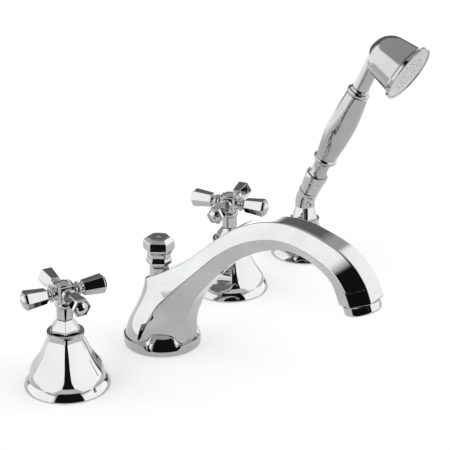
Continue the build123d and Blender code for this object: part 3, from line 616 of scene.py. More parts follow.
@dataclass(frozen=True)
class SatinSteel(Finish):
    """Stainless steel with a satin grain across one axis."""

    light: tuple = (0.60, 0.60, 0.61)
    deep: tuple = (0.42, 0.42, 0.44)
    brushing: Grain = Grain(1600.0, 3.0, 8e-6, stretch=(1.0, 0.03, 1.0))
    rough: tuple = (0.24, 0.40)

    def look(self, wiring: Wiring) -> dict:
        """Metal with a grain of drawn-out noise.

        Args:
            wiring: the material's tree.

        Returns:
            Inputs of the main shader.
        """
        grain = wiring.noise(self.brushing)
        return {"Base Color": wiring.blend(wiring.scaled(grain, NOISE_CORE, WHOLE), self.deep, self.light),
                "Metallic": 1.0, "Roughness": wiring.scaled(grain, NOISE_WIDE, self.rough),
                "Normal": wiring.bump(grain, self.brushing.height)}


@dataclass(frozen=True)
class Moulded(Finish):
    """Moulded rubber, plastic or ceramic: a body colour with slow mottling, a fine skin and its own sheen."""

    colour: tuple
    shade: tuple
    rough: tuple
    skin: Grain
    ior: float
    mottling: Grain = Grain(90.0, 4.0)
    mottling_span: tuple = (0.35, 0.7)

    def look(self, wiring: Wiring) -> dict:
        """A plain dielectric with noise in colour, roughness and height.

        Args:
            wiring: the material's tree.

        Returns:
            Inputs of the main shader.
        """
        mottled = wiring.scaled(wiring.noise(self.mottling), self.mottling_span, WHOLE)
        skin = wiring.noise(self.skin)
        return {"Base Color": wiring.blend(mottled, self.colour, self.shade), "IOR": self.ior,
                "Roughness": wiring.scaled(skin, NOISE_WIDE, self.rough),
                "Normal": wiring.bump(skin, self.skin.height)}


CAST_CHROME = ChromePlate("cast_chrome", Slot.CHROME, Grain(30.0, 1.0, 1.6e-5))
TURNED_CHROME = ChromePlate("turned_chrome", Slot.CHROME, Grain(60.0, 1.0, 6e-6), (0.02, 0.05))
# Darker copies of the turned chrome for the hand shower: painted shade, standing in for the dimmer light that its
# connector, rings, head and grip reflect
HANDSET_SHADED_CHROME = replace(TURNED_CHROME, name="handset_chrome_painted_shade", bright=(0.405, 0.408, 0.412),
                         dull=(0.37, 0.373, 0.377))
GRIP_SHADED_CHROME = ChromePlate("grip_chrome_painted_shade", Slot.CHROME, Grain(75.0, 1.0, 5e-5), (0.02, 0.055),
                          (0.385, 0.388, 0.392), (0.35, 0.353, 0.357))
FACE_CHROME = ChromePlate("spray_face_chrome", Slot.CHROME, Grain(120.0, 1.0, 4e-6), (0.16, 0.26),
                          (0.52, 0.52, 0.53), (0.46, 0.46, 0.47))
BRASS = TurnedBrass("plain_brass", Slot.BRASS)
STEEL = SatinSteel("satin_steel", Slot.STEEL)
RUBBER = Moulded("black_rubber", Slot.RUBBER, (0.022, 0.022, 0.024), (0.035, 0.034, 0.034), (0.55, 0.75),
                 Grain(1800.0, 3.0, 2.5e-5), 1.5)
CERAMIC = Moulded("white_ceramic", Slot.CERAMIC, (0.86, 0.85, 0.81), (0.80, 0.79, 0.75), (0.08, 0.16),
                  Grain(900.0, 3.0, 2e-6), 1.7)
PLASTIC = Moulded("light_plastic", Slot.PLASTIC, (0.72, 0.73, 0.74), (0.66, 0.67, 0.68), (0.32, 0.48),
                  Grain(1500.0, 3.0, 8e-6), 1.49)


# ------------------------------------------------- Pieces -------------------------------------------------


def added(name: str, data: bpy.types.Mesh | bpy.types.Camera) -> bpy.types.Object:
    """A new object of the scene.

    Args:
        name: its name.
        data: its mesh or camera.

    Returns:
        The object.
    """
    made = bpy.data.objects.new(name, data)
    bpy.context.scene.collection.objects.link(made)
    return made


def piece(name: str, surfaces: Sequence[Surface], finish: Finish, body: Body = Body.DECK,
          place: np.ndarray = np.eye(4)) -> None:
    """Makes one piece of the object, in place of the CAD node of the same name.

    The new object stays at the origin; its place is in its mesh.

    Args:
        name: CAD node that the piece stands for.
        surfaces: closed surfaces.
        finish: its finish.
        body: the body that it moves with.
        place: 4 by 4 matrix that carries the surfaces to their place.
    """
    starts = np.cumsum([0] + [len(s.points) for s in surfaces])
    points = np.concatenate([s.moved(place).points for s in surfaces]) * MM
    faces = np.concatenate([s.faces + start for s, start in zip(surfaces, starts)])
    corners = np.where(faces[:, 2] == faces[:, 3], 3, 4)
    used = np.ones(faces.shape, bool)
    used[:, 3] = corners == 4
    mesh = bpy.data.meshes.new(name + "_surface")
    mesh.vertices.add(len(points))
    mesh.vertices.foreach_set("co", points.astype(np.float32).ravel())
    mesh.loops.add(int(corners.sum()))
    mesh.loops.foreach_set("vertex_index", faces[used].astype(np.int32))
    mesh.polygons.add(len(faces))
    mesh.polygons.foreach_set("loop_start", np.concatenate([[0], np.cumsum(corners)[:-1]]).astype(np.int32))
    mesh.update(calc_edges=True)
    mesh.validate()
    mesh.polygons.foreach_set("use_smooth", np.ones(len(mesh.polygons), bool))
    mesh.set_sharp_from_angle(angle=SHARP)
    mesh.materials.append(finish.material())
    made = added(name + "_look", mesh)
    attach(made, body.value)
    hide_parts(name)
    log.info("%s: %d faces, %s, rides on %s", name, len(mesh.polygons), finish.name, body.value)


def keep(finish: Finish, *names: str) -> None:
    """Gives CAD nodes, whose shapes stay, their finish.

    Args:
        finish: the finish.
        names: the CAD nodes.
    """
    for name in names:
        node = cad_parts[name]
        if not node.material_slots:
            node.data.materials.append(finish.material())
        for slot in node.material_slots:
            slot.material = finish.material()
        log.info("%s: CAD mesh, %s", name, finish.name)


@dataclass(frozen=True)
class Thread:
    """An outside pipe thread of rounded form.

    Args:
        radius: outside radius.
        low: where it starts on the axis.
        high: where it ends.
        pitch: height of one turn.
        depth: from crest to root.
    """

    radius: float
    low: float
    high: float
    pitch: float = 1.814
    depth: float = 1.16

    def cut(self, outline: np.ndarray, angle: np.ndarray) -> np.ndarray:
        """How deep the thread cuts at each outline point and angle.

        The cut is the depth times a raised cosine of height over pitch less one turn per turn, fading out over
        one pitch at both ends.

        Args:
            outline: radius and height of each row.
            angle: angle of each column.

        Returns:
            Cuts of shape (rows, columns).
        """
        r, z = outline[:, :1], outline[:, 1:]
        wave = 0.5 - 0.5 * np.cos(FULL_TURN * z / self.pitch - angle)
        fade = np.clip((z - self.low) / self.pitch, 0, 1) * np.clip((self.high - z) / self.pitch, 0, 1)
        return self.depth * wave * fade * (np.abs(r - self.radius) < ON_THREAD)


def threaded_tube(outer: Sequence[Sequence[float]], bore: Sequence[Sequence[float]], *threads: Thread,
                  columns: int = 72, rows_a_turn: int = 8) -> Surface:
    """A turned tube whose outside carries threads.

    The outside and the bore form one closed outline, turned about the axis; each thread lowers the outside by
    its own cut.

    Args:
        outer: radius, height and rounding from the foot to the top.
        bore: radius, height and rounding from the top to the foot.
        threads: the threads on the outside.
        columns: points round the axis.
        rows_a_turn: rows to one turn of the finest thread.

    Returns:
        The closed surface.
    """
    outside = dense(softened(outer), min(t.pitch for t in threads) / rows_a_turn)
    outline = np.concatenate([outside, softened(bore)])
    angle = circle(columns)
    radius = np.repeat(outline[:, :1], columns, axis=1)
    radius[:len(outside)] -= sum(thread.cut(outside, angle) for thread in threads)
    return grid_surface(polar(radius, angle, outline[:, 1:]), ring_of_rows=True)


def grooved_dome(radius: float, rim: float, rise: float, groove: Sequence[Sequence[float]]) -> list:
    """The end of an outline: a fine groove inside a rim, then a dome from the groove's inner edge to the axis.

    Args:
        radius: radius of the rim.
        rim: height of the rim.
        rise: height of the crown over the rim.
        groove: inset, height over the rim and rounding of the groove's outer edge, floor and inner edge.

    Returns:
        Radius, height and rounding of each point.
    """
    inset, step, _ = groove[-1]
    edges = [(radius - aside, rim + up, rounding) for aside, up, rounding in groove[:-1]]
    return [*edges, *dome(radius - inset, rim + step, rise - step)]


# ------------------------------------------------- Valves -------------------------------------------------


@dataclass
class BellCover:
    """Six-sided bell cover: round flange, six swept facets held within a turned envelope, round neck with a lip."""

    foot_r: float = 34.0
    height: float = 46.8
    neck_r: float = 14.7
    flange_edge_h: float = 1.1
    flange_h: float = 7.0
    flange_bulge: tuple = (0.3, 0.25)  # how far the flange's curve stands out of a straight line, outwards and up
    crest_share: float = 30.4 / 34.0
    envelope_share: float = 30.9 / 34.0
    envelope_h: float = 15.0
    envelope_bulge: float = 0.4
    envelope_soft: float = 0.12
    neck_len: float = 6.0
    neck_step: float = 0.4
    neck_soft: float = 0.3
    rim_h: float = 2.0
    lip_width: float = 2.2
    lip_depth: float = 2.2
    hole_r: float = 10.8
    wall: float = 2.2
    hollow_shares: tuple = (0.99, 0.9)  # where the hollow turns straight down, over the crest's radius and height
    foot_land: float = 1.2
    seal_groove: tuple = (1.4, 4.0, 1.6)  # outer and inner edge, both in from the rim, and depth
    # share of the height from flange to neck, and radius of the six corners there
    edge_rounds: tuple = ((0.0, 26.0), (0.04, 20.0), (0.12, 14.0), (0.24, 9.4), (0.5, 6.0), (1.0, 3.2))
    # distance of the facets from the axis over the crest's radius, and share of the height from flange to neck
    facet_shares: tuple = ((0.99, 0.0), (0.911, 0.19), (0.76, 0.40), (0.632, 0.61), (0.534, 0.82), (0.43, 1.0))
    facet_top_share: float = 0.416
    row_counts: tuple = (34, 76, 8)  # rows up to the envelope's end, the neck's step and the rim
    line_points: int = 200
    hollow_rows: int = 16

    def facet_line(self, z: np.ndarray) -> np.ndarray:
        """Distance of the facets from the axis at some heights: a cubic spline through the shares.

        Args:
            z: heights.

        Returns:
            The apothem at each height.
        """
        crest = self.crest_share * self.foot_r
        span = self.height - self.neck_len - self.flange_h
        table = np.array([(share * crest, self.flange_h + up * span) for share, up in self.facet_shares])
        run = walked(table)
        fine = smooth_curve(run, table, np.linspace(0.0, run[-1], self.line_points))
        fine = np.concatenate([fine, [(self.facet_top_share * crest, self.height - self.rim_h)]])
        return np.interp(z, fine[:, 1], fine[:, 0])

    def build(self) -> list[Surface]:
        """The cover as one surface, outside, lip, bore and hollow.

        Outside, the radius at angle a and height z is the smooth least of the six-sided section and the turned
        envelope, and the smooth most of that and the neck. The flange, lip and hollow are turned.

        Returns:
            The closed surface, with its first facet edge at angle zero.
        """
        crest, envelope_r = self.crest_share * self.foot_r, self.envelope_share * self.foot_r
        flange, shoulder = (self.foot_r, self.flange_edge_h), (crest, self.flange_h)
        bulge = ((self.foot_r + crest) / 2 + self.flange_bulge[0],
                 (self.flange_edge_h + self.flange_h) / 2 + self.flange_bulge[1])
        foot = softened([(self.foot_r - self.foot_land, 0, 0), (self.foot_r, 0, 0.5), (*flange, 0.35),
                         *arc(flange, bulge, shoulder)[1:]])
        top, rim = self.height - self.neck_len, self.height - self.rim_h
        stops = (self.flange_h, self.envelope_h, rim - self.neck_step, rim)
        z = np.concatenate([np.linspace(a, b, rows)[1:] for a, b, rows in zip(stops, stops[1:], self.row_counts)])
        low = arc(shoulder, ((envelope_r + crest) / 2 + self.envelope_bulge, (self.envelope_h + self.flange_h) / 2),
                  (envelope_r, self.envelope_h), steps=30)
        envelope = np.where(z < self.envelope_h, np.interp(z, low[:, 1], low[:, 0]), envelope_r)
        corner = np.interp((z - self.flange_h) / (top - self.flange_h), *np.transpose(self.edge_rounds))
        angle, radius = polygon_sweep(self.facet_line(z), corner, flats=14, bends=9)
        radius = least(radius, envelope[:, None], self.envelope_soft)
        radius = most(radius, np.interp(z, stops[2:], [0.0, self.neck_r])[:, None], self.neck_soft)
        inside = self.inside(crest, top, rim)
        rows = [polar(foot[:, :1], angle[0], foot[:, 1:]), polar(radius, angle, z[:, None]),
                polar(inside[:, :1], angle[-1], inside[:, 1:])]
        return [grid_surface(np.concatenate(rows), ring_of_rows=True)]

    def inside(self, crest: float, top: float, rim: float) -> np.ndarray:
        """Outline of the neck's lip, the hole, the hollow and the underside with its groove for the seal.

        Args:
            crest: radius of the flange's inner edge.
            top: height at which the neck starts.
            rim: height of the neck's rim.

        Returns:
            Radius and height of each point, from the neck to the foot.
        """
        lip_r, lip_h = self.neck_r - self.lip_width, self.height - self.lip_depth
        above = softened([(self.neck_r, rim + SEAM / 2, 0), (self.neck_r, self.height, 0.5),
                          (lip_r, self.height, 0.3), (lip_r, lip_h, 0.2), (self.hole_r, lip_h, 0.3),
                          (self.hole_r, top - self.wall, 0)])
        z = np.linspace(top - self.wall, self.flange_h, self.hollow_rows)[1:]
        hollow = np.stack([np.minimum(self.facet_line(z), crest) - self.wall, z], axis=-1)
        base_r, base_h = crest * self.hollow_shares[0] - self.wall, self.flange_h * self.hollow_shares[1]
        outer, inner, depth = self.foot_r - self.seal_groove[0], self.foot_r - self.seal_groove[1], self.seal_groove[2]
        base = softened([(base_r, base_h, 0), (base_r, 0, 0.2), (inner, 0, 0.1), (inner, depth, 0.1),
                         (outer, depth, 0.1), (outer, 0, 0.1), (self.foot_r - self.foot_land - SEAM / 2, 0, 0)])
        return np.concatenate([above, hollow, base])


@dataclass
class CrossHandle:
    """Turned post with a bead, square block, four flared six-sided arms with domed caps, and a plain button."""

    foot: float = 57.5
    collar_r: float = 6.4
    collar_h: float = 9.9
    collar_cut: float = 0.6
    bead_r: float = 7.6
    bead_h: float = 5.2
    block_half: float = 7.1
    block_h: float = 14.0
    block_cut: float = 1.5
    block_edge: float = 0.25
    root_r: float = 5.3
    root_len: float = 1.0
    neck_r: float = 4.3
    ring_r: float = 6.0
    ring_width: float = 1.6
    flare_start: float = 15.2
    flare_in_r: float = 6.3
    flare_out_r: float = 8.1
    flare_edge: float = 0.5
    flare_lap: float = 0.5
    reach: float = 31.9
    cone_len: float = 1.6
    bevel: tuple = (6.9, 1.7)  # radius at its end, and length
    cap_r: float = 5.7
    cap_lap: float = 0.6
    cap_step: float = 0.35
    cap_rise: float = 1.85
    # inset, height over the rim and rounding of each point
    cap_groove: tuple = ((0.6, 0.0, 0.1), (0.75, -0.25, 0.1), (0.95, -0.1, 0))
    stem_r: float = 4.6
    stem_len: float = 1.0
    button_r: float = 6.6
    button_edge: float = 0.9
    button_rise: float = 2.0
    button_groove: tuple = ((0.7, 0.1, 0.15), (1.0, -0.1, 0.1), (1.2, 0.05, 0))  # the same for the button

    @property
    def block_low(self) -> float:
        """Height of the block's underside."""
        return self.foot + self.collar_h + self.bead_h

    def hub(self) -> list[Surface]:
        """The post, turned, and the block, whose section is a square with cut corners.

        Returns:
            Both surfaces.
        """
        low, bead_low = self.block_low, self.foot + self.collar_h
        top = low + self.block_h
        post = softened([(0, self.foot, 0), (self.collar_r - self.collar_cut, self.foot, 0.2),
                         (self.collar_r, self.foot + self.collar_cut, 0.2), (self.collar_r, bead_low, 0.15),
                         *arc((self.collar_r, bead_low), (self.bead_r, bead_low + self.bead_h / 2),
                              (self.collar_r, low))[1:-1], (self.collar_r, low, 0.1), (0, low, 0)])
        rows = softened([(0, low, 0), (self.block_half, low, 0.7), (self.block_half, top, 0.6), (0, top, 0)])[1:-1]
        half, cut = rows[:, 0], rows[:, 0] - self.block_cut
        corner = np.stack([np.stack([half, cut], -1), np.stack([cut, half], -1)], axis=1)
        quarter = spin(90.0)[:2, :2]
        plan = np.concatenate([corner @ np.linalg.matrix_power(quarter, k).T for k in range(4)], axis=1)
        height = np.broadcast_to(rows[:, 1, None, None], plan.shape[:2] + (1,))
        return [turned(post), edged(np.concatenate([plan, height], axis=2), self.block_edge)]

    def arm(self) -> list[Surface]:
        """One arm along +X: turned neck with its ring, six-sided flare with level flats, turned cap.

        Returns:
            The arm's surfaces, with the arm's axis through the origin.
        """
        root, cone = self.block_half - self.root_len, self.flare_start - self.cone_len
        ring = (self.block_half + cone) / 2
        neck = softened([(0, root, 0), (self.root_r, root, 0.1), (self.root_r, self.block_half, 0.4),
                         (self.neck_r, self.block_half + self.ring_width, 0.4), (self.neck_r, ring, 0.15),
                         *arc((self.neck_r, ring), (self.ring_r, ring + self.ring_width / 2),
                              (self.neck_r, ring + self.ring_width))[1:-1],
                         (self.neck_r, ring + self.ring_width, 0.15), (self.neck_r, cone, 0.3),
                         (self.flare_in_r * math.cos(HALF_FACE), self.flare_start, 0.2),
                         (0, self.flare_start + self.flare_lap, 0)])
        end_r, bevel_len = self.bevel
        end = self.reach + bevel_len
        flare = softened([(0, self.flare_start, 0), (self.flare_in_r, self.flare_start, 0.5),
                          (self.flare_out_r, self.reach, 0.35), (end_r, end, 0.3), (0, end, 0)])
        rim = end + self.cap_step
        cap = softened([(0, end - self.cap_lap, 0), (self.cap_r, end - self.cap_lap, 0.05), (self.cap_r, rim, 0.2),
                        *grooved_dome(self.cap_r, rim, self.cap_rise, self.cap_groove)])
        tip = spin(90.0, "Y")
        level = tip @ spin(math.degrees(HALF_FACE))
        return [turned(neck, columns=64).moved(tip), faceted(flare, self.flare_edge).moved(level),
                turned(cap, columns=64).moved(tip)]

    def arms(self) -> list[Surface]:
        """The four arms, a quarter turn apart, at mid-height of the block."""
        height = shift(0, 0, self.block_low + self.block_h / 2)
        return [part.moved(height @ spin(90.0 * quarter)) for quarter in range(4) for part in self.arm()]

    def button(self) -> list[Surface]:
        """The domed button, turned, with a fine groove round its rim.

        Returns:
            Its surface.
        """
        top = self.block_low + self.block_h
        rim = top + self.button_edge
        outline = softened([(0, top - self.stem_len, 0), (self.stem_r, top - self.stem_len, 0.1),
                            (self.stem_r, top, 0.05), (self.button_r, top, 0.15), (self.button_r, rim, 0.3),
                            *grooved_dome(self.button_r, rim, self.button_rise, self.button_groove)])
        return [turned(outline)]


SHANK_R = 13.22  # outside radius of every shank that clamps a unit to the deck


@dataclass
class Valve:
    """One valve: cover, bonnet nut, cross handle, threaded body and what is inside."""

    name: str
    body: Body
    x: float
    cover_turn: float
    handle_turn: float
    y: float = 15.0
    cover: BellCover = field(default_factory=BellCover)
    handle: CrossHandle = field(default_factory=CrossHandle)
    bonnet_r: float = 11.8
    bonnet_low: float = 44.6
    bonnet_side_h: float = 5.2
    bonnet_h: float = 12.6
    bonnet_top_r: float = 6.4
    bonnet_edge: float = 0.5
    skirt_r: tuple = (9.75, 10.6)  # inside and outside
    skirt_h: tuple = (35.6, 45.2)  # foot and head
    inlet_r: float = 10.48
    shank_end: float = -60.0
    inlet_end: float = -76.0
    thread_gap: float = 1.5
    thread_top: float = 4.0
    shoulder_h: float = 8.0
    shoulder_len: float = 3.6
    stem_r: float = 9.6
    stem_top: float = 38.0
    water_r: float = 5.5
    pocket_r: float = 8.5
    pocket_floor: float = -8.0
    outlet_h: float = -46.0
    outlet_root_r: float = 8.33
    outlet_root: float = 9.9
    outlet_len: float = 17.5
    outlet_gap: float = 0.1
    collar_step: float = 1.1
    collar_len: float = 3.5
    collar_relief: float = 1.0

    def bonnet(self) -> list[Surface]:
        """The bonnet nut: a six-sided belt, a taper to the post, and a turned skirt inside the cover.

        Returns:
            Its surfaces.
        """
        low, side, top = (self.bonnet_low + up for up in (0, self.bonnet_side_h, self.bonnet_h))
        nut = softened([(0, low, 0), (self.bonnet_r, low, 0.4), (self.bonnet_r, side, 0.5),
                        (self.bonnet_top_r, top, 0.4), (0, top, 0)])
        (inner, outer), (foot, head) = self.skirt_r, self.skirt_h
        skirt = softened([(inner, foot, 0), (outer, foot, 0.3), (outer, head, 0), (inner, head, 0)])
        return [faceted(nut, self.bonnet_edge), turned(skirt, columns=72, ring_of_rows=True)]

    def brass_body(self) -> list[Surface]:
        """The threaded body: supply nipple, shank and stem over a stepped bore.

        Returns:
            Its surface.
        """
        outer = [(self.water_r, self.inlet_end, 0), (self.inlet_r, self.inlet_end, 0.8),
                 (self.inlet_r, self.shank_end, 0.1), (SHANK_R, self.shank_end, 0.8),
                 (SHANK_R, self.shoulder_h, 0.4), (self.stem_r, self.shoulder_h + self.shoulder_len, 0.4),
                 (self.stem_r, self.stem_top, 0.3), (self.pocket_r, self.stem_top, 0)]
        bore = [(self.pocket_r, self.stem_top, 0), (self.pocket_r, self.pocket_floor, 0.2),
                (self.water_r, self.pocket_floor, 0.2), (self.water_r, self.inlet_end + SEAM, 0)]
        return [threaded_tube(outer, bore, Thread(self.inlet_r, self.inlet_end, self.shank_end - self.thread_gap),
                              Thread(SHANK_R, self.shank_end, self.thread_top))]

    def outlet(self) -> list[Surface]:
        """The side nipple that points to the back, with its collar and thread.

        Returns:
            Its surface.
        """
        face = SHANK_R + self.outlet_gap
        collar_r, collar_end, end = self.inlet_r + self.collar_step, face + self.collar_len, face + self.outlet_len
        outer = [(self.water_r, self.outlet_root, 0), (self.outlet_root_r, self.outlet_root, 0.2),
                 (self.outlet_root_r, face, 0), (collar_r, face, 0.3), (collar_r, collar_end, 0.3),
                 (self.inlet_r, collar_end, 0.1), (self.inlet_r, end, 0.8), (self.water_r, end, 0)]
        bore = [(self.water_r, end, 0), (self.water_r, self.outlet_root + SEAM, 0)]
        tube = threaded_tube(outer, bore, Thread(self.inlet_r, collar_end + self.collar_relief, end))
        return [tube.moved(shift(0, 0, self.outlet_h) @ spin(90.0) @ spin(90.0, "Y"))]

    def build(self) -> None:
        """Builds and dresses every piece of the valve."""
        stand = shift(self.x, self.y, 0)
        cover, handle = stand @ spin(self.cover_turn), stand @ spin(self.handle_turn)
        for part, surfaces, finish, body, place in (
                ("bell_cover", self.cover.build(), CAST_CHROME, Body.DECK, cover),
                ("bonnet_nut", self.bonnet(), TURNED_CHROME, Body.DECK, cover),
                ("handle_hub", self.handle.hub(), TURNED_CHROME, self.body, handle),
                ("handle_arms", self.handle.arms(), TURNED_CHROME, self.body, handle),
                ("index_button", self.handle.button(), TURNED_CHROME, self.body, handle),
                ("valve_body", self.brass_body(), BRASS, Body.DECK, stand),
                ("outlet_nipple", self.outlet(), BRASS, Body.DECK, stand)):
            piece(f"{self.name}_{part}", surfaces, finish, body, place)
        for finish, parts in ((RUBBER, ("deck_seal", "seat_ring")), (CERAMIC, ("fixed_disc", "turning_disc")),
                              (BRASS, ("headwork", "spindle", "backnut")), (STEEL, ("clamp_washer", "handle_screw"))):
            keep(finish, *(f"{self.name}_{part}" for part in parts))


# ------------------------------------------------- Spout -------------------------------------------------


@dataclass
class Spout:
    """Arched six-sided spout on a rounded column and a round foot, with aerator, shank and diverter."""

    reach: float = 187.6
    rise: float = 126.4
    base_r: float = 31.8
    edge_h: float = 4.0
    shoulder_r: float = 23.6
    shoulder_h: float = 16.0
    shoulder_bulge: float = 1.0
    wall_h: float = 7.6
    ledge_h: float = 12.2
    ledge_bulge: float = 0.01
    # degrees: front to a toe's middle, and from there to where the wall starts and stops rising
    toe: tuple = (53.0, 20.0, 31.0)
    hollow: tuple = (16.5, 7.5)  # radius and height of its ceiling
    hollow_mouth: tuple = (24.4, 4.0)  # radius, and height at which it widens no more
    seal_groove: tuple = (27.8, 30.4, 1.6)  # inner and outer radius and depth
    column_h: float = 58.2
    half_w: float = 16.5
    half_depth: float = 11.6
    edge_round: float = 0.9
    # the rearmost point of each section, over the foot's radius
    rear_shares: tuple = (0.993, 0.925, 0.71, 0.516, 0.418)
    rear_inset: float = 0.3
    # rear, side and front corner of each section, over the foot's radius and the column's height
    column_shares: tuple = (
        ((0.955, 0.11, 0.0), (0.93, 0.04), (0.29, -0.915, 0.0)),
        ((0.905, 0.12, 0.24), (0.858, 0.01), (0.285, -0.905, 0.225)),
        ((0.705, 0.09, 0.50), (0.707, -0.115), (0.277, -0.921, 0.43)),
        ((0.512, 0.115, 0.755), (0.582, -0.274), (0.264, -0.98, 0.558)),
        ((0.343, 0.223, 1.0), (0.535, -0.509), (0.252, -1.079, 0.689)),
        ((0.305, -0.33, 1.175), (0.522, -0.786), (0.243, -1.195, 0.84)),
    )
    crease_row: int = 4
    row_counts: tuple = (60, 190)  # rows of the column and of the arch
    line_points: int = 800
    foot_columns: int = 288
    # points of the centre line, over reach and rise
    path_shares: tuple = ((0.0725, 0.389), (0.188, 0.546), (0.343, 0.771), (0.506, 0.934), (0.677, 1.0),
                          (0.826, 0.957), (0.943, 0.852), (1.0, 0.699))
    start_slope: tuple = (0.62, 0.785)  # direction of the centre line at its start, forwards and up
    end_slope: tuple = (0.30, -0.954)  # the same at the end
    arch_shares: tuple = (  # share of the length, then half depth and half width at the top, side and under corner
        (0.155, 1.16, 0.56, 0.98, 0.45),
        (0.27, 0.99, 0.525, 0.97, 0.44),
        (0.40, 0.99, 0.49, 0.97, 0.43),
        (0.53, 1.00, 0.47, 0.97, 0.42),
        (0.66, 0.98, 0.47, 0.97, 0.42),
        (0.77, 1.03, 0.49, 0.97, 0.43),
        (0.87, 1.17, 0.515, 0.985, 0.46),
        (0.94, 1.28, 0.53, 1.00, 0.49),
        (1.0, 1.28, 0.545, 1.00, 0.515),
    )
    # size over the tip's own, and distance back from the tip
    tip_rows: tuple = ((1.0, 0.8), (0.99, 0.25), (0.965, 0.0))
    shank_bore: float = 8.6
    shank_low: float = -60.0
    shank_top: float = 13.0
    thread_gap: float = 1.0
    aerator_line: tuple = ((10.6, -4.5, 0), (12.0, -4.5, 0.2), (12.0, 0.3, 0.05), (14.6, 0.3, 0.5), (14.6, 6.8, 0.8),
                           (13.4, 8.0, 0.9), (9.2, 8.0, 0.7), (9.2, 6.6, 0.4), (10.6, 6.6, 0))

    def centre_line(self) -> tuple[np.ndarray, np.ndarray]:
        """The arch's centre line: a clamped cubic spline through its shares, walked evenly by length.

        Returns:
            Share of the length, and place, of many points along it.
        """
        points = np.array([(0.0, -a * self.reach, b * self.rise) for a, b in self.path_shares])
        knots = walked(points)
        ends = [np.array([0.0, -s[0], s[1]]) / math.hypot(*s) for s in (self.start_slope, self.end_slope)]
        line = smooth_curve(knots, points, np.linspace(0.0, knots[-1], self.line_points), ends)
        run = walked(line)
        return run / run[-1], line

    def column_corners(self) -> np.ndarray:
        """Right-hand corners of the column's sections: rear, side and front.

        The side corner lies in the plane of the other two.

        Returns:
            Places of shape (sections, 3, 3).
        """
        rows = []
        for (rw, ry, rz), (sw, sy), (fw, fy, fz) in self.column_shares:
            sz = rz + (fz - rz) * (sy - ry) / (fy - ry)
            rows.append(((rw, ry, rz), (sw, sy, sz), (fw, fy, fz)))
        return np.array(rows) * np.array([self.base_r, self.base_r, self.column_h])

    def arch_corners(self) -> np.ndarray:
        """Right-hand corners of the sections square to the centre line.

        Returns:
            Places of shape (sections, 3, 3): top, side and under corner.
        """
        share, line = self.centre_line()
        table = np.array(self.arch_shares)
        slope = np.gradient(line, share, axis=0)
        at, along = (np.stack([np.interp(table[:, 0], share, curve[:, i]) for i in range(3)], axis=-1)
                     for curve in (line, slope))
        along /= np.linalg.norm(along, axis=1, keepdims=True)
        up = np.stack([0 * along[:, 0], along[:, 2], -along[:, 1]], axis=-1)
        half = table[:, 1:2] * self.half_depth
        wide = (table[:, 2:] * self.half_w)[:, :, None] * np.array([1.0, 0.0, 0.0])
        return np.stack([at + up * half + wide[:, 0], at + wide[:, 1], at - up * half + wide[:, 2]], axis=1)

    def corner_rows(self) -> np.ndarray:
        """Corner places along the whole spout, on cubic splines through the sections.

        The column and the arch are splined apart and meet in the crease behind the top face.

        Returns:
            Places of shape (rows, 3, 3).
        """
        column = self.column_corners()
        parts = (column[:self.crease_row + 1], np.concatenate([column[self.crease_row:], self.arch_corners()]))
        rows = []
        for part, count in zip(parts, self.row_counts):
            knots = walked(part.mean(axis=1))
            rows.append(smooth_curve(knots, part, np.linspace(0.0, knots[-1], count)))
        return np.concatenate([rows[0], rows[1][1:]])

    def arched_form(self) -> Surface:
        """The column and arch as one surface: a rounded six-cornered section carried along the corner splines.

        The last rows draw in towards the section's middle, for a soft edge round the tip.

        Returns:
            The closed surface.
        """
        right = self.corner_rows()
        end = right[-1]
        tip = end.mean(axis=0) * np.array([0.0, 1.0, 1.0])
        slope = np.array([0.0, -self.end_slope[0], self.end_slope[1]])
        slope /= np.linalg.norm(slope)
        last = [tip + (end - tip) * share - slope * back for share, back in self.tip_rows]
        right = np.concatenate([right[:-1], last])
        left = right[:, ::-1] * np.array([-1.0, 1.0, 1.0])
        return edged(np.concatenate([right, left], axis=1), self.edge_round)

    def rounded_back(self) -> Surface:
        """The rounded rear of the column, cut off by the plane of the top face.

        At each height the plan is the arc through the two rear corners and the rearmost point; corner and
        rearmost point follow cubic splines over height. Each upright line ends where it meets the plane through
        the crease and the next section's rear corner, found by halving the step towards it.

        Returns:
            The closed surface.
        """
        corner = self.column_corners()[:self.crease_row + 2, 0]
        crease, beyond = corner[-2], corner[-1]
        knots = corner[:-1, 2]
        values = np.column_stack([corner[:-1, :2] - self.rear_inset, np.array(self.rear_shares) * self.base_r])
        slope = (beyond[2] - crease[2]) / (beyond[1] - crease[1])
        columns, rows, rounds = 65, 70, 12
        turn = np.linspace(-1.0, 1.0, columns)
        top = np.full(columns, crease[2])

        def plan(z: np.ndarray, side: np.ndarray) -> np.ndarray:
            """Places on the arc.

            Args:
                z: heights.
                side: shares of the arc's sweep, from -1 at the left corner to 1 at the right.

            Returns:
                One place to a row.
            """
            w, y, back = smooth_curve(knots, values, z.ravel()).T
            rise = back - y
            radius = (w * w + rise * rise) / (2 * rise)
            centre = back - radius
            a = np.arctan2(w, y - centre) * side.ravel()
            return np.stack([radius * np.sin(a), centre + radius * np.cos(a), z.ravel()], axis=-1)

        for _ in range(rounds):
            here = plan(top, turn)
            top = (top + np.minimum(crease[2], crease[2] + slope * (here[:, 1] - crease[1]))) / 2
        z = np.linspace(0.0, 1.0, rows)[:, None] * top
        return grid_surface(plan(z, np.broadcast_to(turn, z.shape)).reshape(rows, columns, 3))

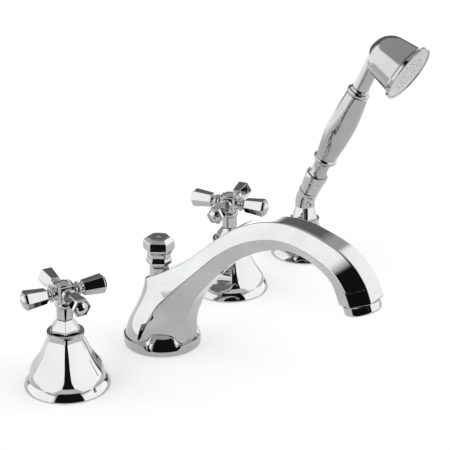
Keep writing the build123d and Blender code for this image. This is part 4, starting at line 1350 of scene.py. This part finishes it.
    def foot(self) -> Surface:
        """The round foot, hollow below with a groove for the seal.

        Its upright wall is low at two toes, one below each lower face of the column, and higher elsewhere. The
        profile at an angle is the low profile's and the high profile's mean, weighed by the angle's distance from
        the nearer toe.

        Returns:
            The surface.
        """
        angle = circle(self.foot_columns)
        from_front = np.degrees(np.abs(np.arctan2(np.cos(angle), -np.sin(angle))))
        middle, inner, outer = self.toe
        share = np.clip((np.abs(from_front - middle) - inner) / (outer - inner), 0.0, 1.0)
        share = (share * share * (3 - 2 * share))[:, None]
        low = self.foot_profile(self.edge_h, self.shoulder_h, self.shoulder_bulge)[:, None]
        high = self.foot_profile(self.wall_h, self.ledge_h, self.ledge_bulge)[:, None]
        profile = low * (1 - share) + high * share
        return grid_surface(polar(profile[..., 0], angle, profile[..., 1]))

    def foot_profile(self, wall: float, shoulder: float, bulge: float) -> np.ndarray:
        """Outline of the foot with an upright wall of the given height.

        Args:
            wall: height of the wall.
            shoulder: height at which the shoulder ends inwards.
            bulge: how far the shoulder's middle stands out of the straight line, on both axes.

        Returns:
            Radius and height of each point.
        """
        middle = ((self.shoulder_r + self.base_r) / 2 + bulge, (wall + shoulder) / 2 + bulge)
        inner, outer, depth = self.seal_groove
        return softened([(0, self.hollow[1], 0), (*self.hollow, 0.3), (*self.hollow_mouth, 0.3),
                         (self.hollow_mouth[0], 0, 0.2), (inner, 0, 0.1), (inner, depth, 0.1), (outer, depth, 0.1),
                         (outer, 0, 0.1), (self.base_r, 0, 0.6), (self.base_r, wall, 0.3),
                         *arc((self.base_r, wall), middle, (self.shoulder_r, shoulder), steps=24)[1:],
                         (0, shoulder, 0)])

    def tip_place(self) -> np.ndarray:
        """The outlet's place, looking along its axis."""
        a, b = self.path_shares[-1]
        return seat((0.0, -a * self.reach, b * self.rise), (0.0, -self.end_slope[0], self.end_slope[1]))

    def shank(self) -> Surface:
        """The threaded tube that clamps the spout.

        Returns:
            The surface.
        """
        bore, low, top = self.shank_bore, self.shank_low, self.shank_top
        outer = [(bore, low, 0), (SHANK_R, low, 0.9), (SHANK_R, top, 0.6), (bore, top, 0)]
        return threaded_tube(outer, [(bore, top, 0), (bore, low + SEAM, 0)],
                             Thread(SHANK_R, low, top - self.thread_gap))

    def build(self) -> None:
        """Builds and dresses the spout's own pieces."""
        piece("spout_body", [self.foot(), self.rounded_back(), self.arched_form()], CAST_CHROME)
        aerator = turned(softened(self.aerator_line), ring_of_rows=True)
        piece("aerator_housing", [aerator], TURNED_CHROME, place=self.tip_place())
        piece("spout_shank", [self.shank()], BRASS)
        keep(RUBBER, "spout_deck_seal")
        keep(STEEL, "spout_clamp_washer")
        keep(BRASS, "spout_backnut", "mixing_tee")
        keep(PLASTIC, "aerator_insert")


@dataclass
class Diverter:
    """Pull-up diverter: six-sided guide on the spout, waisted six-sided knob with a dished disc on top."""

    y: float = 2.5
    turn: float = 3.6
    edge: float = 0.5
    guide_r: float = 7.8
    guide_low: float = 50.5
    guide_top: float = 66.8
    guide_edge: float = 0.45
    guide_bore: tuple = (3.1, 60.0)  # radius and floor
    foot: float = 67.1
    height: float = 25.2
    corner_r: float = 12.9
    waist_round: float = 0.9
    row_step: float = 0.35
    disc_r: float = 8.4
    disc_lap: float = 2.6
    disc_step: float = 0.15
    chamfer_h: float = 2.9
    head_r: float = 9.6
    dish: tuple = (7.3, 3.0, 1.1)  # outer and inner radius and depth
    dish_round: float = 0.1
    dish_share: float = 0.6
    crown_rise: float = 1.3
    # corner radius and height of the knob's outline, over the knob's own
    shares: tuple = ((0.62, 0.0), (0.80, 0.10), (0.83, 0.19), (0.76, 0.29), (0.73, 0.37), (0.80, 0.47), (0.97, 0.58),
                     (1.0, 0.62), (1.0, 0.875))

    def guide(self) -> list[Surface]:
        """The guide, a six-sided block that stands out of the top face.

        Returns:
            Its surface.
        """
        bore_r, bore_foot = self.guide_bore
        outline = softened([(0, self.guide_low, 0), (self.guide_r, self.guide_low, 0.3),
                            (self.guide_r, self.guide_top, 0.5), (bore_r, self.guide_top, 0.2),
                            (bore_r, bore_foot, 0), (0, bore_foot, 0)])
        return [faceted(outline, self.guide_edge)]

    def knob(self) -> list[Surface]:
        """The knob's six-sided body with its bevelled head, and the turned, dished disc with a small dome on top.

        Returns:
            Both surfaces.
        """
        top = self.foot + self.shares[-1][1] * self.height + self.chamfer_h
        head = top - self.disc_step
        body = softened([(0, self.foot, 0), *((share * self.corner_r, self.foot + up * self.height, self.waist_round)
                                              for share, up in self.shares), (self.head_r, head, 0.25), (0, head, 0)])
        outer, inner, depth = self.dish
        middle = ((outer + inner) / 2, top - depth * self.dish_share)
        disc = softened([(0, top - self.disc_lap, 0), (self.disc_r, top - self.disc_lap, 0.05),
                         (self.disc_r, top, 0.25), (outer, top, self.dish_round),
                         *arc((outer, top - self.dish_round), middle, (inner, top - depth))[1:],
                         *dome(inner - self.dish_round, top - depth, self.crown_rise)])
        return [faceted(dense(body, self.row_step), self.edge), turned(disc, columns=72)]

    def build(self) -> None:
        """Builds and dresses the diverter."""
        place = shift(0, self.y, 0) @ spin(self.turn)
        piece("diverter_guide", self.guide(), TURNED_CHROME, place=place)
        piece("diverter_knob", self.knob(), TURNED_CHROME, Body.DIVERTER, place)
        keep(STEEL, "diverter_rod")
        keep(BRASS, "diverter_plunger")
        keep(RUBBER, "diverter_seal")


# ------------------------------------------------- Hand shower -------------------------------------------------


@dataclass
class ShowerHolder:
    """Small bell cover, six-sided dome, bent socket with a grub screw, threaded sleeve for the hose."""

    x: float = 218.0
    y: float = 3.0
    turn: float = 38.0
    cover: BellCover = field(default_factory=lambda: BellCover(foot_r=31.0, height=33.6, neck_r=13.4))
    dome_r: float = 12.9
    dome_top_r: float = 9.2
    dome_side_h: float = 1.2
    dome_h: float = 12.4
    dome_edge: float = 5.4
    dome_lap: float = 0.6
    collar: tuple = (7.4, 11.0, 2.2)  # inside and outside radius and depth
    tube_r: float = 9.1
    tube_lap: float = 0.4
    knee: float = 52.0
    knee_reach: float = 4.6
    lean: float = 25.1
    mouth: float = 10.0
    bore_r: float = 7.9
    bore_foot: float = 2.0
    lip_r: float = 9.3
    # distance back from the mouth, and how far inside the lip's radius
    lip_rows: tuple = ((1.9, 0.2), (1.6, 0.05), (1.3, 0.0), (0.25, 0.0), (0.0, 0.3))
    grub_r: float = 3.2
    grub_out: float = 1.1
    grub_len: float = 1.6
    grub_turn: float = 240.0
    grub_h: float = 49.6
    grub_recess: tuple = (1.3, 0.93, -0.2)  # radius, height of its edge over the head's, and floor
    grub_dome_rows: int = 9
    sleeve_bore: float = 7.4
    sleeve_low: float = -46.0
    sleeve_r: float = 9.6
    sleeve_top: float = 27.6
    thread_gap: float = 0.5
    bend_rows: int = 16
    columns: int = 96

    def lean_place(self) -> np.ndarray:
        """The hand shower's own axis, from the knee."""
        a = math.radians(self.lean)
        return seat((self.x, self.y, self.knee), (0.0, -math.sin(a), math.cos(a)))

    def dome_piece(self) -> list[Surface]:
        """The six-sided dome and its turned collar inside the cover's lip.

        Returns:
            Its surfaces.
        """
        low = self.cover.height
        foot, top = low - self.dome_lap, low + self.dome_h
        dome_line = softened([(0, foot, 0), (self.dome_r, foot, 0.05), (self.dome_r, low + self.dome_side_h, 0.7),
                              (self.dome_top_r, top, 0.3), (0, top, 0)])
        inner, outer, depth = self.collar
        collar = softened([(inner, low - depth, 0), (outer, low - depth, 0.2), (outer, low, 0), (inner, low, 0)])
        return [faceted(dome_line, self.dome_edge), turned(collar, columns=72, ring_of_rows=True)]

    def socket(self) -> list[Surface]:
        """The bent socket: a round section carried up a short stub, round the knee and along the lean.

        The centre line is a straight run, an arc that turns by the lean, and a straight run to the mouth. The
        section swells into a lip at the mouth and goes back down the bore as a liner's seat.

        Returns:
            The closed surface.
        """
        a = math.radians(self.lean)
        radius = self.knee_reach / math.tan(a / 2)
        turn = np.linspace(0.0, a, self.bend_rows)
        bend = np.stack([-radius * (1 - np.cos(turn)), self.knee - self.knee_reach + radius * np.sin(turn)], axis=-1)
        ends = np.array([(self.mouth - back, self.lip_r - step) for back, step in self.lip_rows]
                        + [(self.mouth, self.bore_r), (self.bore_foot, self.bore_r)])
        straight = np.array([0.0, self.knee]) + ends[:, :1] * np.array([-math.sin(a), math.cos(a)])
        line = np.concatenate([[(0.0, self.cover.height + self.dome_h - self.tube_lap)], bend, straight])
        tilt = np.concatenate([[0.0], turn, np.full(len(ends), a)])[:, None]
        r = np.concatenate([np.full(1 + len(turn), self.tube_r), ends[:, 1]])[:, None]
        angle = circle(self.columns)
        across = r * np.sin(angle)
        return [grid_surface(np.stack([r * np.cos(angle), line[:, :1] + across * np.cos(tilt),
                                       line[:, 1:] + across * np.sin(tilt)], axis=-1))]

    def grub(self) -> list[Surface]:
        """The round-headed screw, with a turned recess for the key.

        Returns:
            Its surface.
        """
        a = math.radians(self.grub_turn)
        out = np.array([math.cos(a), math.sin(a), 0.0])
        place = seat(np.array([0.0, 0.0, self.grub_h]) + out * self.tube_r, out, (0.0, 0.0, 1.0))
        side = self.grub_out / 2
        recess_r, share, floor = self.grub_recess
        outline = softened([(0, -self.grub_len, 0), (self.grub_r, -self.grub_len, 0.05), (self.grub_r, side, 0.3),
                            *dome(self.grub_r, side, side)[1:self.grub_dome_rows],
                            (recess_r, self.grub_out * share, 0.1), (recess_r, floor, 0.1), (0, floor, 0)])
        return [turned(outline, columns=48).moved(place)]

    def sleeve(self) -> list[Surface]:
        """The threaded sleeve that the hose runs in.

        Returns:
            Its surface.
        """
        bore, low, top = self.sleeve_bore, self.sleeve_low, self.sleeve_top
        outer = [(bore, low, 0), (SHANK_R, low, 0.9), (SHANK_R, 0, 0.3), (self.sleeve_r, 0, 0.2),
                 (self.sleeve_r, top, 0.3), (bore, top, 0)]
        return [threaded_tube(outer, [(bore, top, 0), (bore, low + SEAM, 0)],
                              Thread(SHANK_R, low, -self.thread_gap))]

    def build(self) -> None:
        """Builds and dresses the holder's pieces."""
        stand = shift(self.x, self.y, 0)
        for name, surfaces, finish, place in (
                ("shower_bell_cover", self.cover.build(), CAST_CHROME, stand @ spin(self.turn)),
                ("holder_dome", self.dome_piece(), TURNED_CHROME, stand @ spin(self.turn)),
                ("holder_socket", self.socket(), TURNED_CHROME, stand),
                ("holder_grub_screw", self.grub(), TURNED_CHROME, stand),
                ("shower_shank", self.sleeve(), BRASS, stand)):
            piece(name, surfaces, finish, place=place)
        keep(RUBBER, "shower_deck_seal")
        keep(STEEL, "shower_clamp_washer")
        keep(BRASS, "shower_backnut")
        keep(PLASTIC, "holder_liner")


@dataclass
class HandShower:
    """Hand shower along its leaning axis: conical nut, waisted connector, swelling grip, rings, head."""

    axis: np.ndarray
    bore_r: float = 4.6
    nut_foot: tuple = ((5.9, 1.0, 0.3), (6.8, 10.3, 0.1))  # radius, height and rounding of each corner
    nut_cone: tuple = ((8.8, 10.3, 0.5), (9.9, 23.2, 0.25))
    nut_bead_r: float = 10.4
    nut_top: float = 30.0
    nut_seat: tuple = (6.25, 18.0)  # radius and floor of the seat for the connector
    play: float = 0.3
    tail_r: float = 6.2
    waist: tuple = (8.6, 7.2)  # radius at both ends and in the middle
    lower_ring: tuple = (45.6, 51.2, 10.9)  # foot, head and radius
    # radius and distance from the foot of the land and of the bead's start
    lower_ring_foot: tuple = ((9.6, 0.7), (9.9, 0.9))
    # radius and distance from the head of the bead's end and of the last corner
    lower_ring_head: tuple = ((9.9, 0.8), (9.5, 0.5))
    grip_r: tuple = (9.4, 12.7, 10.1)  # at the places grip_s
    grip_s: tuple = (51.2, 88.0, 122.0)
    grip_bore: float = 5.0
    grip_rows: int = 60
    top_ring_bead: tuple = ((9.7, 0.8), (10.5, 2.6), (9.3, 4.7))  # radius and distance from the grip's end
    top_ring_steps: tuple = ((8.7, 5.2, 0.2), (8.4, 6.2, 0.3))  # the same, and the rounding
    top_ring_cut: float = 0.5
    top_ring_end: float = 129.4
    neck_r: float = 7.5
    neck_waist_r: float = 7.3
    cross: float = 169.78
    tilt: float = 3.0
    back: float = -8.1
    dome_r: float = 20.5
    shoulder: float = 10.0
    mouth_r: float = 23.7
    mouth: float = 28.3
    flare_r: float = 26.7
    face: float = 30.6
    rim_h: float = 3.1
    wall: float = 2.4
    face_step: tuple = (0.2, 0.4)  # how far the two corners before the face's seat lie under the face
    face_seat: tuple = (21.4, 27.9)  # radius and floor of the seat for the spray face

    def nut(self) -> list[Surface]:
        """The hose's conical nut with its bead, over its bore.

        Returns:
            Its surface.
        """
        bead_r, bead_low, _ = self.nut_cone[-1]
        top, (seat_r, seat_h) = self.nut_top, self.nut_seat
        bead = arc((bead_r, bead_low), (self.nut_bead_r, (bead_low + top) / 2), (bead_r, top), steps=12)[1:-1]
        outline = softened([(self.bore_r, self.nut_foot[0][1], 0), *self.nut_foot, *self.nut_cone, *bead,
                            (bead_r, top, 0.4), (seat_r, top, 0.1), (seat_r, seat_h, 0.1), (self.bore_r, seat_h, 0.1)])
        return [turned(outline, ring_of_rows=True)]

    def connector(self) -> list[Surface]:
        """The waisted neck with the grip's lower ring and the tail that turns in the nut.

        Returns:
            Its surface.
        """
        low, high, ring = self.lower_ring
        tail, neck = self.nut_seat[1] + self.play, self.nut_top + self.play
        wide, narrow = self.waist
        (land_r, land), (bead_r, start) = self.lower_ring_foot
        (last_r, last), (end_r, end) = self.lower_ring_head
        outline = softened([(self.bore_r, tail, 0), (self.tail_r, tail, 0.2), (self.tail_r, neck, 0.05),
                            (wide, neck, 0.35), *arc((wide, neck), (narrow, (neck + low) / 2), (wide, low),
                               steps=22)[1:-1],
                            (wide, low, 0.25), (land_r, low + land, 0.3),
                            *arc((bead_r, low + start), (ring, (low + high) / 2), (last_r, high - last))[1:-1],
                            (end_r, high - end, 0.2), (self.grip_r[0], high, 0.05), (self.bore_r, high, 0)])
        return [turned(outline, ring_of_rows=True)]

    def grip(self) -> list[Surface]:
        """The grip: a cubic spline through three radii, turned about the axis.

        Returns:
            Its surface.
        """
        s = np.array(self.grip_s)
        fine = np.linspace(s[0], s[-1], self.grip_rows)
        outside = np.stack([smooth_curve(s, np.array(self.grip_r), fine), fine], axis=-1)
        bore = np.array([[self.grip_bore, s[-1]], [self.grip_bore, s[0]]])
        return [turned(np.concatenate([outside, bore]), columns=128, ring_of_rows=True)]

    def upper_ring(self) -> list[Surface]:
        """The bead between the grip and the head's neck.

        Returns:
            Its surface.
        """
        start, end, cut = self.grip_s[-1], self.top_ring_end, self.top_ring_cut
        bead = arc(*((r, start + up) for r, up in self.top_ring_bead))[1:-1]
        outline = softened([(self.grip_bore, start, 0), (self.grip_r[-1], start, 0.05),
                            (self.grip_r[-1] - cut, start + cut, 0.2), *bead,
                            *((r, start + up, rounding) for r, up, rounding in self.top_ring_steps),
                            (self.neck_r, end, 0.3), (self.grip_bore, end, 0)])
        return [turned(outline, ring_of_rows=True)]

    def head(self) -> list[Surface]:
        """The head's neck, turned on the grip's axis, and its cup, turned on the axis towards the spray.

        Returns:
            Both surfaces.
        """
        end, top = self.top_ring_end, self.cross - self.dome_r / 2
        neck = softened([(0, end, 0), (self.neck_r, end, 0.05),
                         *arc((self.neck_r, end), (self.neck_waist_r, (end + top) / 2), (self.neck_r, top),
                              steps=20)[1:],
                         (0, top, 0)])
        rim, inner = self.face + self.rim_h, self.flare_r - self.wall
        flare = (self.mouth_r + (self.flare_r - self.mouth_r) / 3, (self.mouth + self.face) / 2)
        seat_r, seat_h = self.face_seat
        cup = softened([*dome(self.dome_r, self.shoulder, self.back - self.shoulder, steps=30)[::-1],
                        (self.dome_r, self.shoulder, 1.5), (self.mouth_r, self.mouth, 0.9),
                        *arc((self.mouth_r, self.mouth), flare, (self.flare_r, self.face), steps=10)[1:-1],
                        (self.flare_r, self.face, 0.3), (self.flare_r, rim, 0.8), (inner, rim, 0.6),
                        (inner, self.face - self.face_step[0], 0.2), (seat_r, self.face - self.face_step[1], 0.2),
                        (seat_r, seat_h, 0.1), (0, seat_h, 0)])
        return [turned(neck), turned(cup, columns=144).moved(self.head_place())]

    def head_place(self) -> np.ndarray:
        """The head's place on the grip's axis: it looks across the axis, tilted a little down."""
        t = math.radians(self.tilt)
        return seat((0.0, 0.0, self.cross), (0.0, -math.cos(t), -math.sin(t)))

    def build(self) -> None:
        """Builds and dresses the hand shower."""
        for name, surfaces, finish, body in (
                ("hose_nut", self.nut(), TURNED_CHROME, Body.NUT),
                ("handset_connector", self.connector(), HANDSET_SHADED_CHROME, Body.HANDSET),
                ("handset_grip", self.grip(), GRIP_SHADED_CHROME, Body.HANDSET),
                ("handset_top_ring", self.upper_ring(), HANDSET_SHADED_CHROME, Body.HANDSET),
                ("handset_head", self.head(), HANDSET_SHADED_CHROME, Body.HANDSET)):
            piece(name, surfaces, finish, body, self.axis)
        keep(FACE_CHROME, "spray_face")


# ------------------------------------------------- Studio -------------------------------------------------


@dataclass(frozen=True)
class Panel:
    """A light or dark part of the studio, as seen from the object.

    Args:
        azimuth: direction of its middle, degrees from +X towards +Y.
        half_width: degrees to each side.
        low: lowest elevation in degrees.
        high: highest elevation in degrees.
        level: brightness, where 1 is white paper.
        edge: softness of its edge in degrees.
    """

    azimuth: float
    half_width: float
    low: float
    high: float
    level: float
    edge: float

    def share(self, wiring: Wiring, direction: bpy.types.NodeSocket,
              elevation: bpy.types.NodeSocket) -> bpy.types.NodeSocket:
        """How far a direction lies inside the panel: one within it, nothing outside, with soft edges.

        Args:
            wiring: the world's tree.
            direction: the direction looked in.
            elevation: its elevation in degrees.

        Returns:
            The share.
        """
        turned_back = wiring.add("VectorRotate", {"Vector": direction, "Axis": (0, 0, 1),
                                                  "Angle": -math.radians(self.azimuth)})
        local = wiring.add("SeparateXYZ", {0: turned_back.outputs[0]}).outputs
        aside = wiring.math("ABSOLUTE", wiring.math("DEGREES", wiring.math("ARCTAN2", local[1], local[0])))
        side, above, below = (wiring.scaled(value, (limit - self.edge, limit + self.edge), span, "SMOOTHSTEP")
                              for value, limit, span in ((aside, self.half_width, WHOLE[::-1]),
                                                         (elevation, self.low, WHOLE),
                                                         (elevation, self.high, WHOLE[::-1])))
        return wiring.math("MULTIPLY", side, wiring.math("MULTIPLY", above, below))


@dataclass(frozen=True)
class Card:
    """A card that lies on the floor and shows in reflections alone.

    It is a sector of a ring round the spout, and its brightness changes between two distances from the spout.

    Args:
        name: its name.
        near: distance of its near edge, in metres.
        sides: angles of its two sides, in degrees from +X towards +Y.
        height: height over the floor, in metres.
        distances: where the change starts and ends, in metres.
        levels: brightness at both distances, where 1 is white paper.
        columns: points along each edge.
    """

    name: str
    near: float
    sides: tuple
    height: float
    distances: tuple
    levels: tuple
    columns: int = 49

    def material(self) -> bpy.types.Material:
        """The card's surface: light whose strength follows the distance.

        Returns:
            The material.
        """
        made = bpy.data.materials.new(self.name + "_surface")
        wiring = Wiring(made)
        place = wiring.add("TexCoord").outputs["Object"]
        far = wiring.add("VectorMath", {0: place}, operation="LENGTH").outputs["Value"]
        level = wiring.scaled(far, self.distances, self.levels, "SMOOTHSTEP")
        light = wiring.add("Emission", {"Color": WHITE, "Strength": level})
        wiring.add("OutputMaterial", {"Surface": light.outputs[0]})
        return made

    def build(self, far: float) -> None:
        """Lays the card: (d cos a, d sin a) for its near and far distance d and the angles a between its sides.

        Args:
            far: distance of its far edge, in metres.
        """
        angle = np.radians(np.linspace(*self.sides, self.columns))
        rings = polar(np.array([[self.near], [far]]), angle, self.height)
        number = np.arange(2 * len(angle)).reshape(2, -1)
        faces = np.stack([number[0, :-1], number[1, :-1], number[1, 1:], number[0, 1:]], axis=-1)
        mesh = bpy.data.meshes.new(self.name)
        mesh.from_pydata(rings.reshape(-1, 3).tolist(), [], faces.tolist())
        mesh.materials.append(self.material())
        made = added(self.name, mesh)
        made.visible_camera = made.visible_diffuse = made.visible_shadow = False


@dataclass
class Studio:
    """White floor, surrounding panels and the camera of the photograph; its lengths are in metres."""

    camera_mm: tuple = (-987.98, -766.32, 642.63)
    focal_px: float = 1700.27
    picture_px: float = 450.0
    sensor_mm: float = 36.0
    clip: tuple = (0.05, 50.0)
    pitch: float = 23.365
    roll: float = -0.08
    yaw: float = 35.45
    ceiling: float = 0.62
    panels: tuple = (
        Panel(137.0, 46.0, -20.0, 42.0, 1.85, 4.5),
        Panel(-52.0, 51.0, -20.0, 41.0, 1.85, 4.0),
        Panel(49.0, 35.0, 1.0, 43.0, 0.21, 2.5),
        Panel(28.0, 27.0, -20.0, 11.0, 1.9, 4.0),
        Panel(-135.0, 38.0, -20.0, 62.0, 0.012, 1.6),
    )
    floor_half: float = 8.0
    paper: tuple = (0.82, 0.82, 0.82, 1.0)
    glow: float = 0.42
    cards: tuple = (
        Card("right_sheet", 0.52, (-101.0, 70.0), 0.0004, (0.52, 1.0), (0.95, 1.85)),
        Card("left_sheet", 0.24, (70.0, 196.0), 0.0004, (0.24, 0.8), (0.95, 1.85)),
        Card("black_flag", 0.19, (-164.0, -101.0), 0.0006, (0.1, 0.2), (0.01, 0.01)),
    )

    def camera(self) -> None:
        """Puts the camera where the photograph was taken from."""
        yaw, pitch, roll = (math.radians(v) for v in (self.yaw, self.pitch, self.roll))
        level = np.array([math.cos(yaw), math.sin(yaw), 0.0])
        right = np.array([math.sin(yaw), -math.cos(yaw), 0.0])
        upright = np.array([0.0, 0.0, 1.0])
        forward = level * math.cos(pitch) - upright * math.sin(pitch)
        down = -level * math.sin(pitch) - upright * math.cos(pitch)
        lens = bpy.data.cameras.new("photo_camera")
        lens.sensor_width = self.sensor_mm
        lens.lens = self.focal_px / self.picture_px * self.sensor_mm
        lens.clip_start, lens.clip_end = self.clip
        camera = added("photo_camera", lens)
        place = seat(np.array(self.camera_mm) * MM, -forward, right * math.cos(roll) + down * math.sin(roll))
        camera.matrix_world = Matrix(place.tolist())
        bpy.context.scene.camera = camera

    def floor(self) -> None:
        """A wide white floor at the height of the deck, which keeps the object's shadow."""
        mesh = bpy.data.meshes.new("floor")
        half = self.floor_half
        mesh.from_pydata([(-half, -half, 0), (half, -half, 0), (half, half, 0), (-half, half, 0)], [], [(0, 1, 2, 3)])
        paper = bpy.data.materials.new("floor_paper")
        wiring = Wiring(paper)
        matt = wiring.add("BsdfDiffuse", {"Color": self.paper}).outputs[0]
        camera, glossy, clear = (wiring.add("LightPath").outputs[f"Is {kind} Ray"]
                                 for kind in ("Camera", "Glossy", "Transmission"))
        seen = wiring.math("MAXIMUM", wiring.math("MAXIMUM", camera, glossy), clear)
        glow = wiring.add("Emission", {"Color": WHITE, "Strength": wiring.math("MULTIPLY", seen, self.glow)})
        both = wiring.add("AddShader", {0: matt, 1: glow.outputs[0]}).outputs[0]
        wiring.add("OutputMaterial", {"Surface": both})
        mesh.materials.append(paper)
        added("floor", mesh)

    def world(self) -> None:
        """The surroundings: an even grey with light and dark panels placed by azimuth and elevation."""
        world = bpy.data.worlds.new("studio")
        bpy.context.scene.world = world
        wiring = Wiring(world)
        direction = wiring.add("TexCoord").outputs["Generated"]
        upward = wiring.add("SeparateXYZ", {0: direction}).outputs[2]
        elevation = wiring.math("DEGREES", wiring.math("ARCSINE", upward))
        level: float | bpy.types.NodeSocket = self.ceiling
        for panel in self.panels:
            share = panel.share(wiring, direction, elevation)
            level = wiring.add("Mix", {"Factor": share, 2: level, 3: panel.level}).outputs[0]
        background = wiring.add("Background", {"Color": WHITE, "Strength": level})
        wiring.add("OutputWorld", {"Surface": background.outputs[0]})

    def build(self) -> None:
        """Sets the whole studio."""
        self.camera()
        self.floor()
        for card in self.cards:
            card.build(self.floor_half)
        self.world()
        bpy.context.scene.view_settings.view_transform = "Standard"


def main() -> None:
    """Builds the object and its studio."""
    logging.basicConfig(level=logging.INFO, format="%(name)s: %(message)s")
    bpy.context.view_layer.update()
    Valve("hot", Body.HOT, x=-103.0, cover_turn=41.5, handle_turn=-25.4).build()
    Valve("cold", Body.COLD, x=116.0, cover_turn=48.0, handle_turn=13.0).build()
    Spout().build()
    Diverter().build()
    holder = ShowerHolder()
    holder.build()
    HandShower(holder.lean_place()).build()
    Studio().build()


if __name__ == "__main__":
    main()
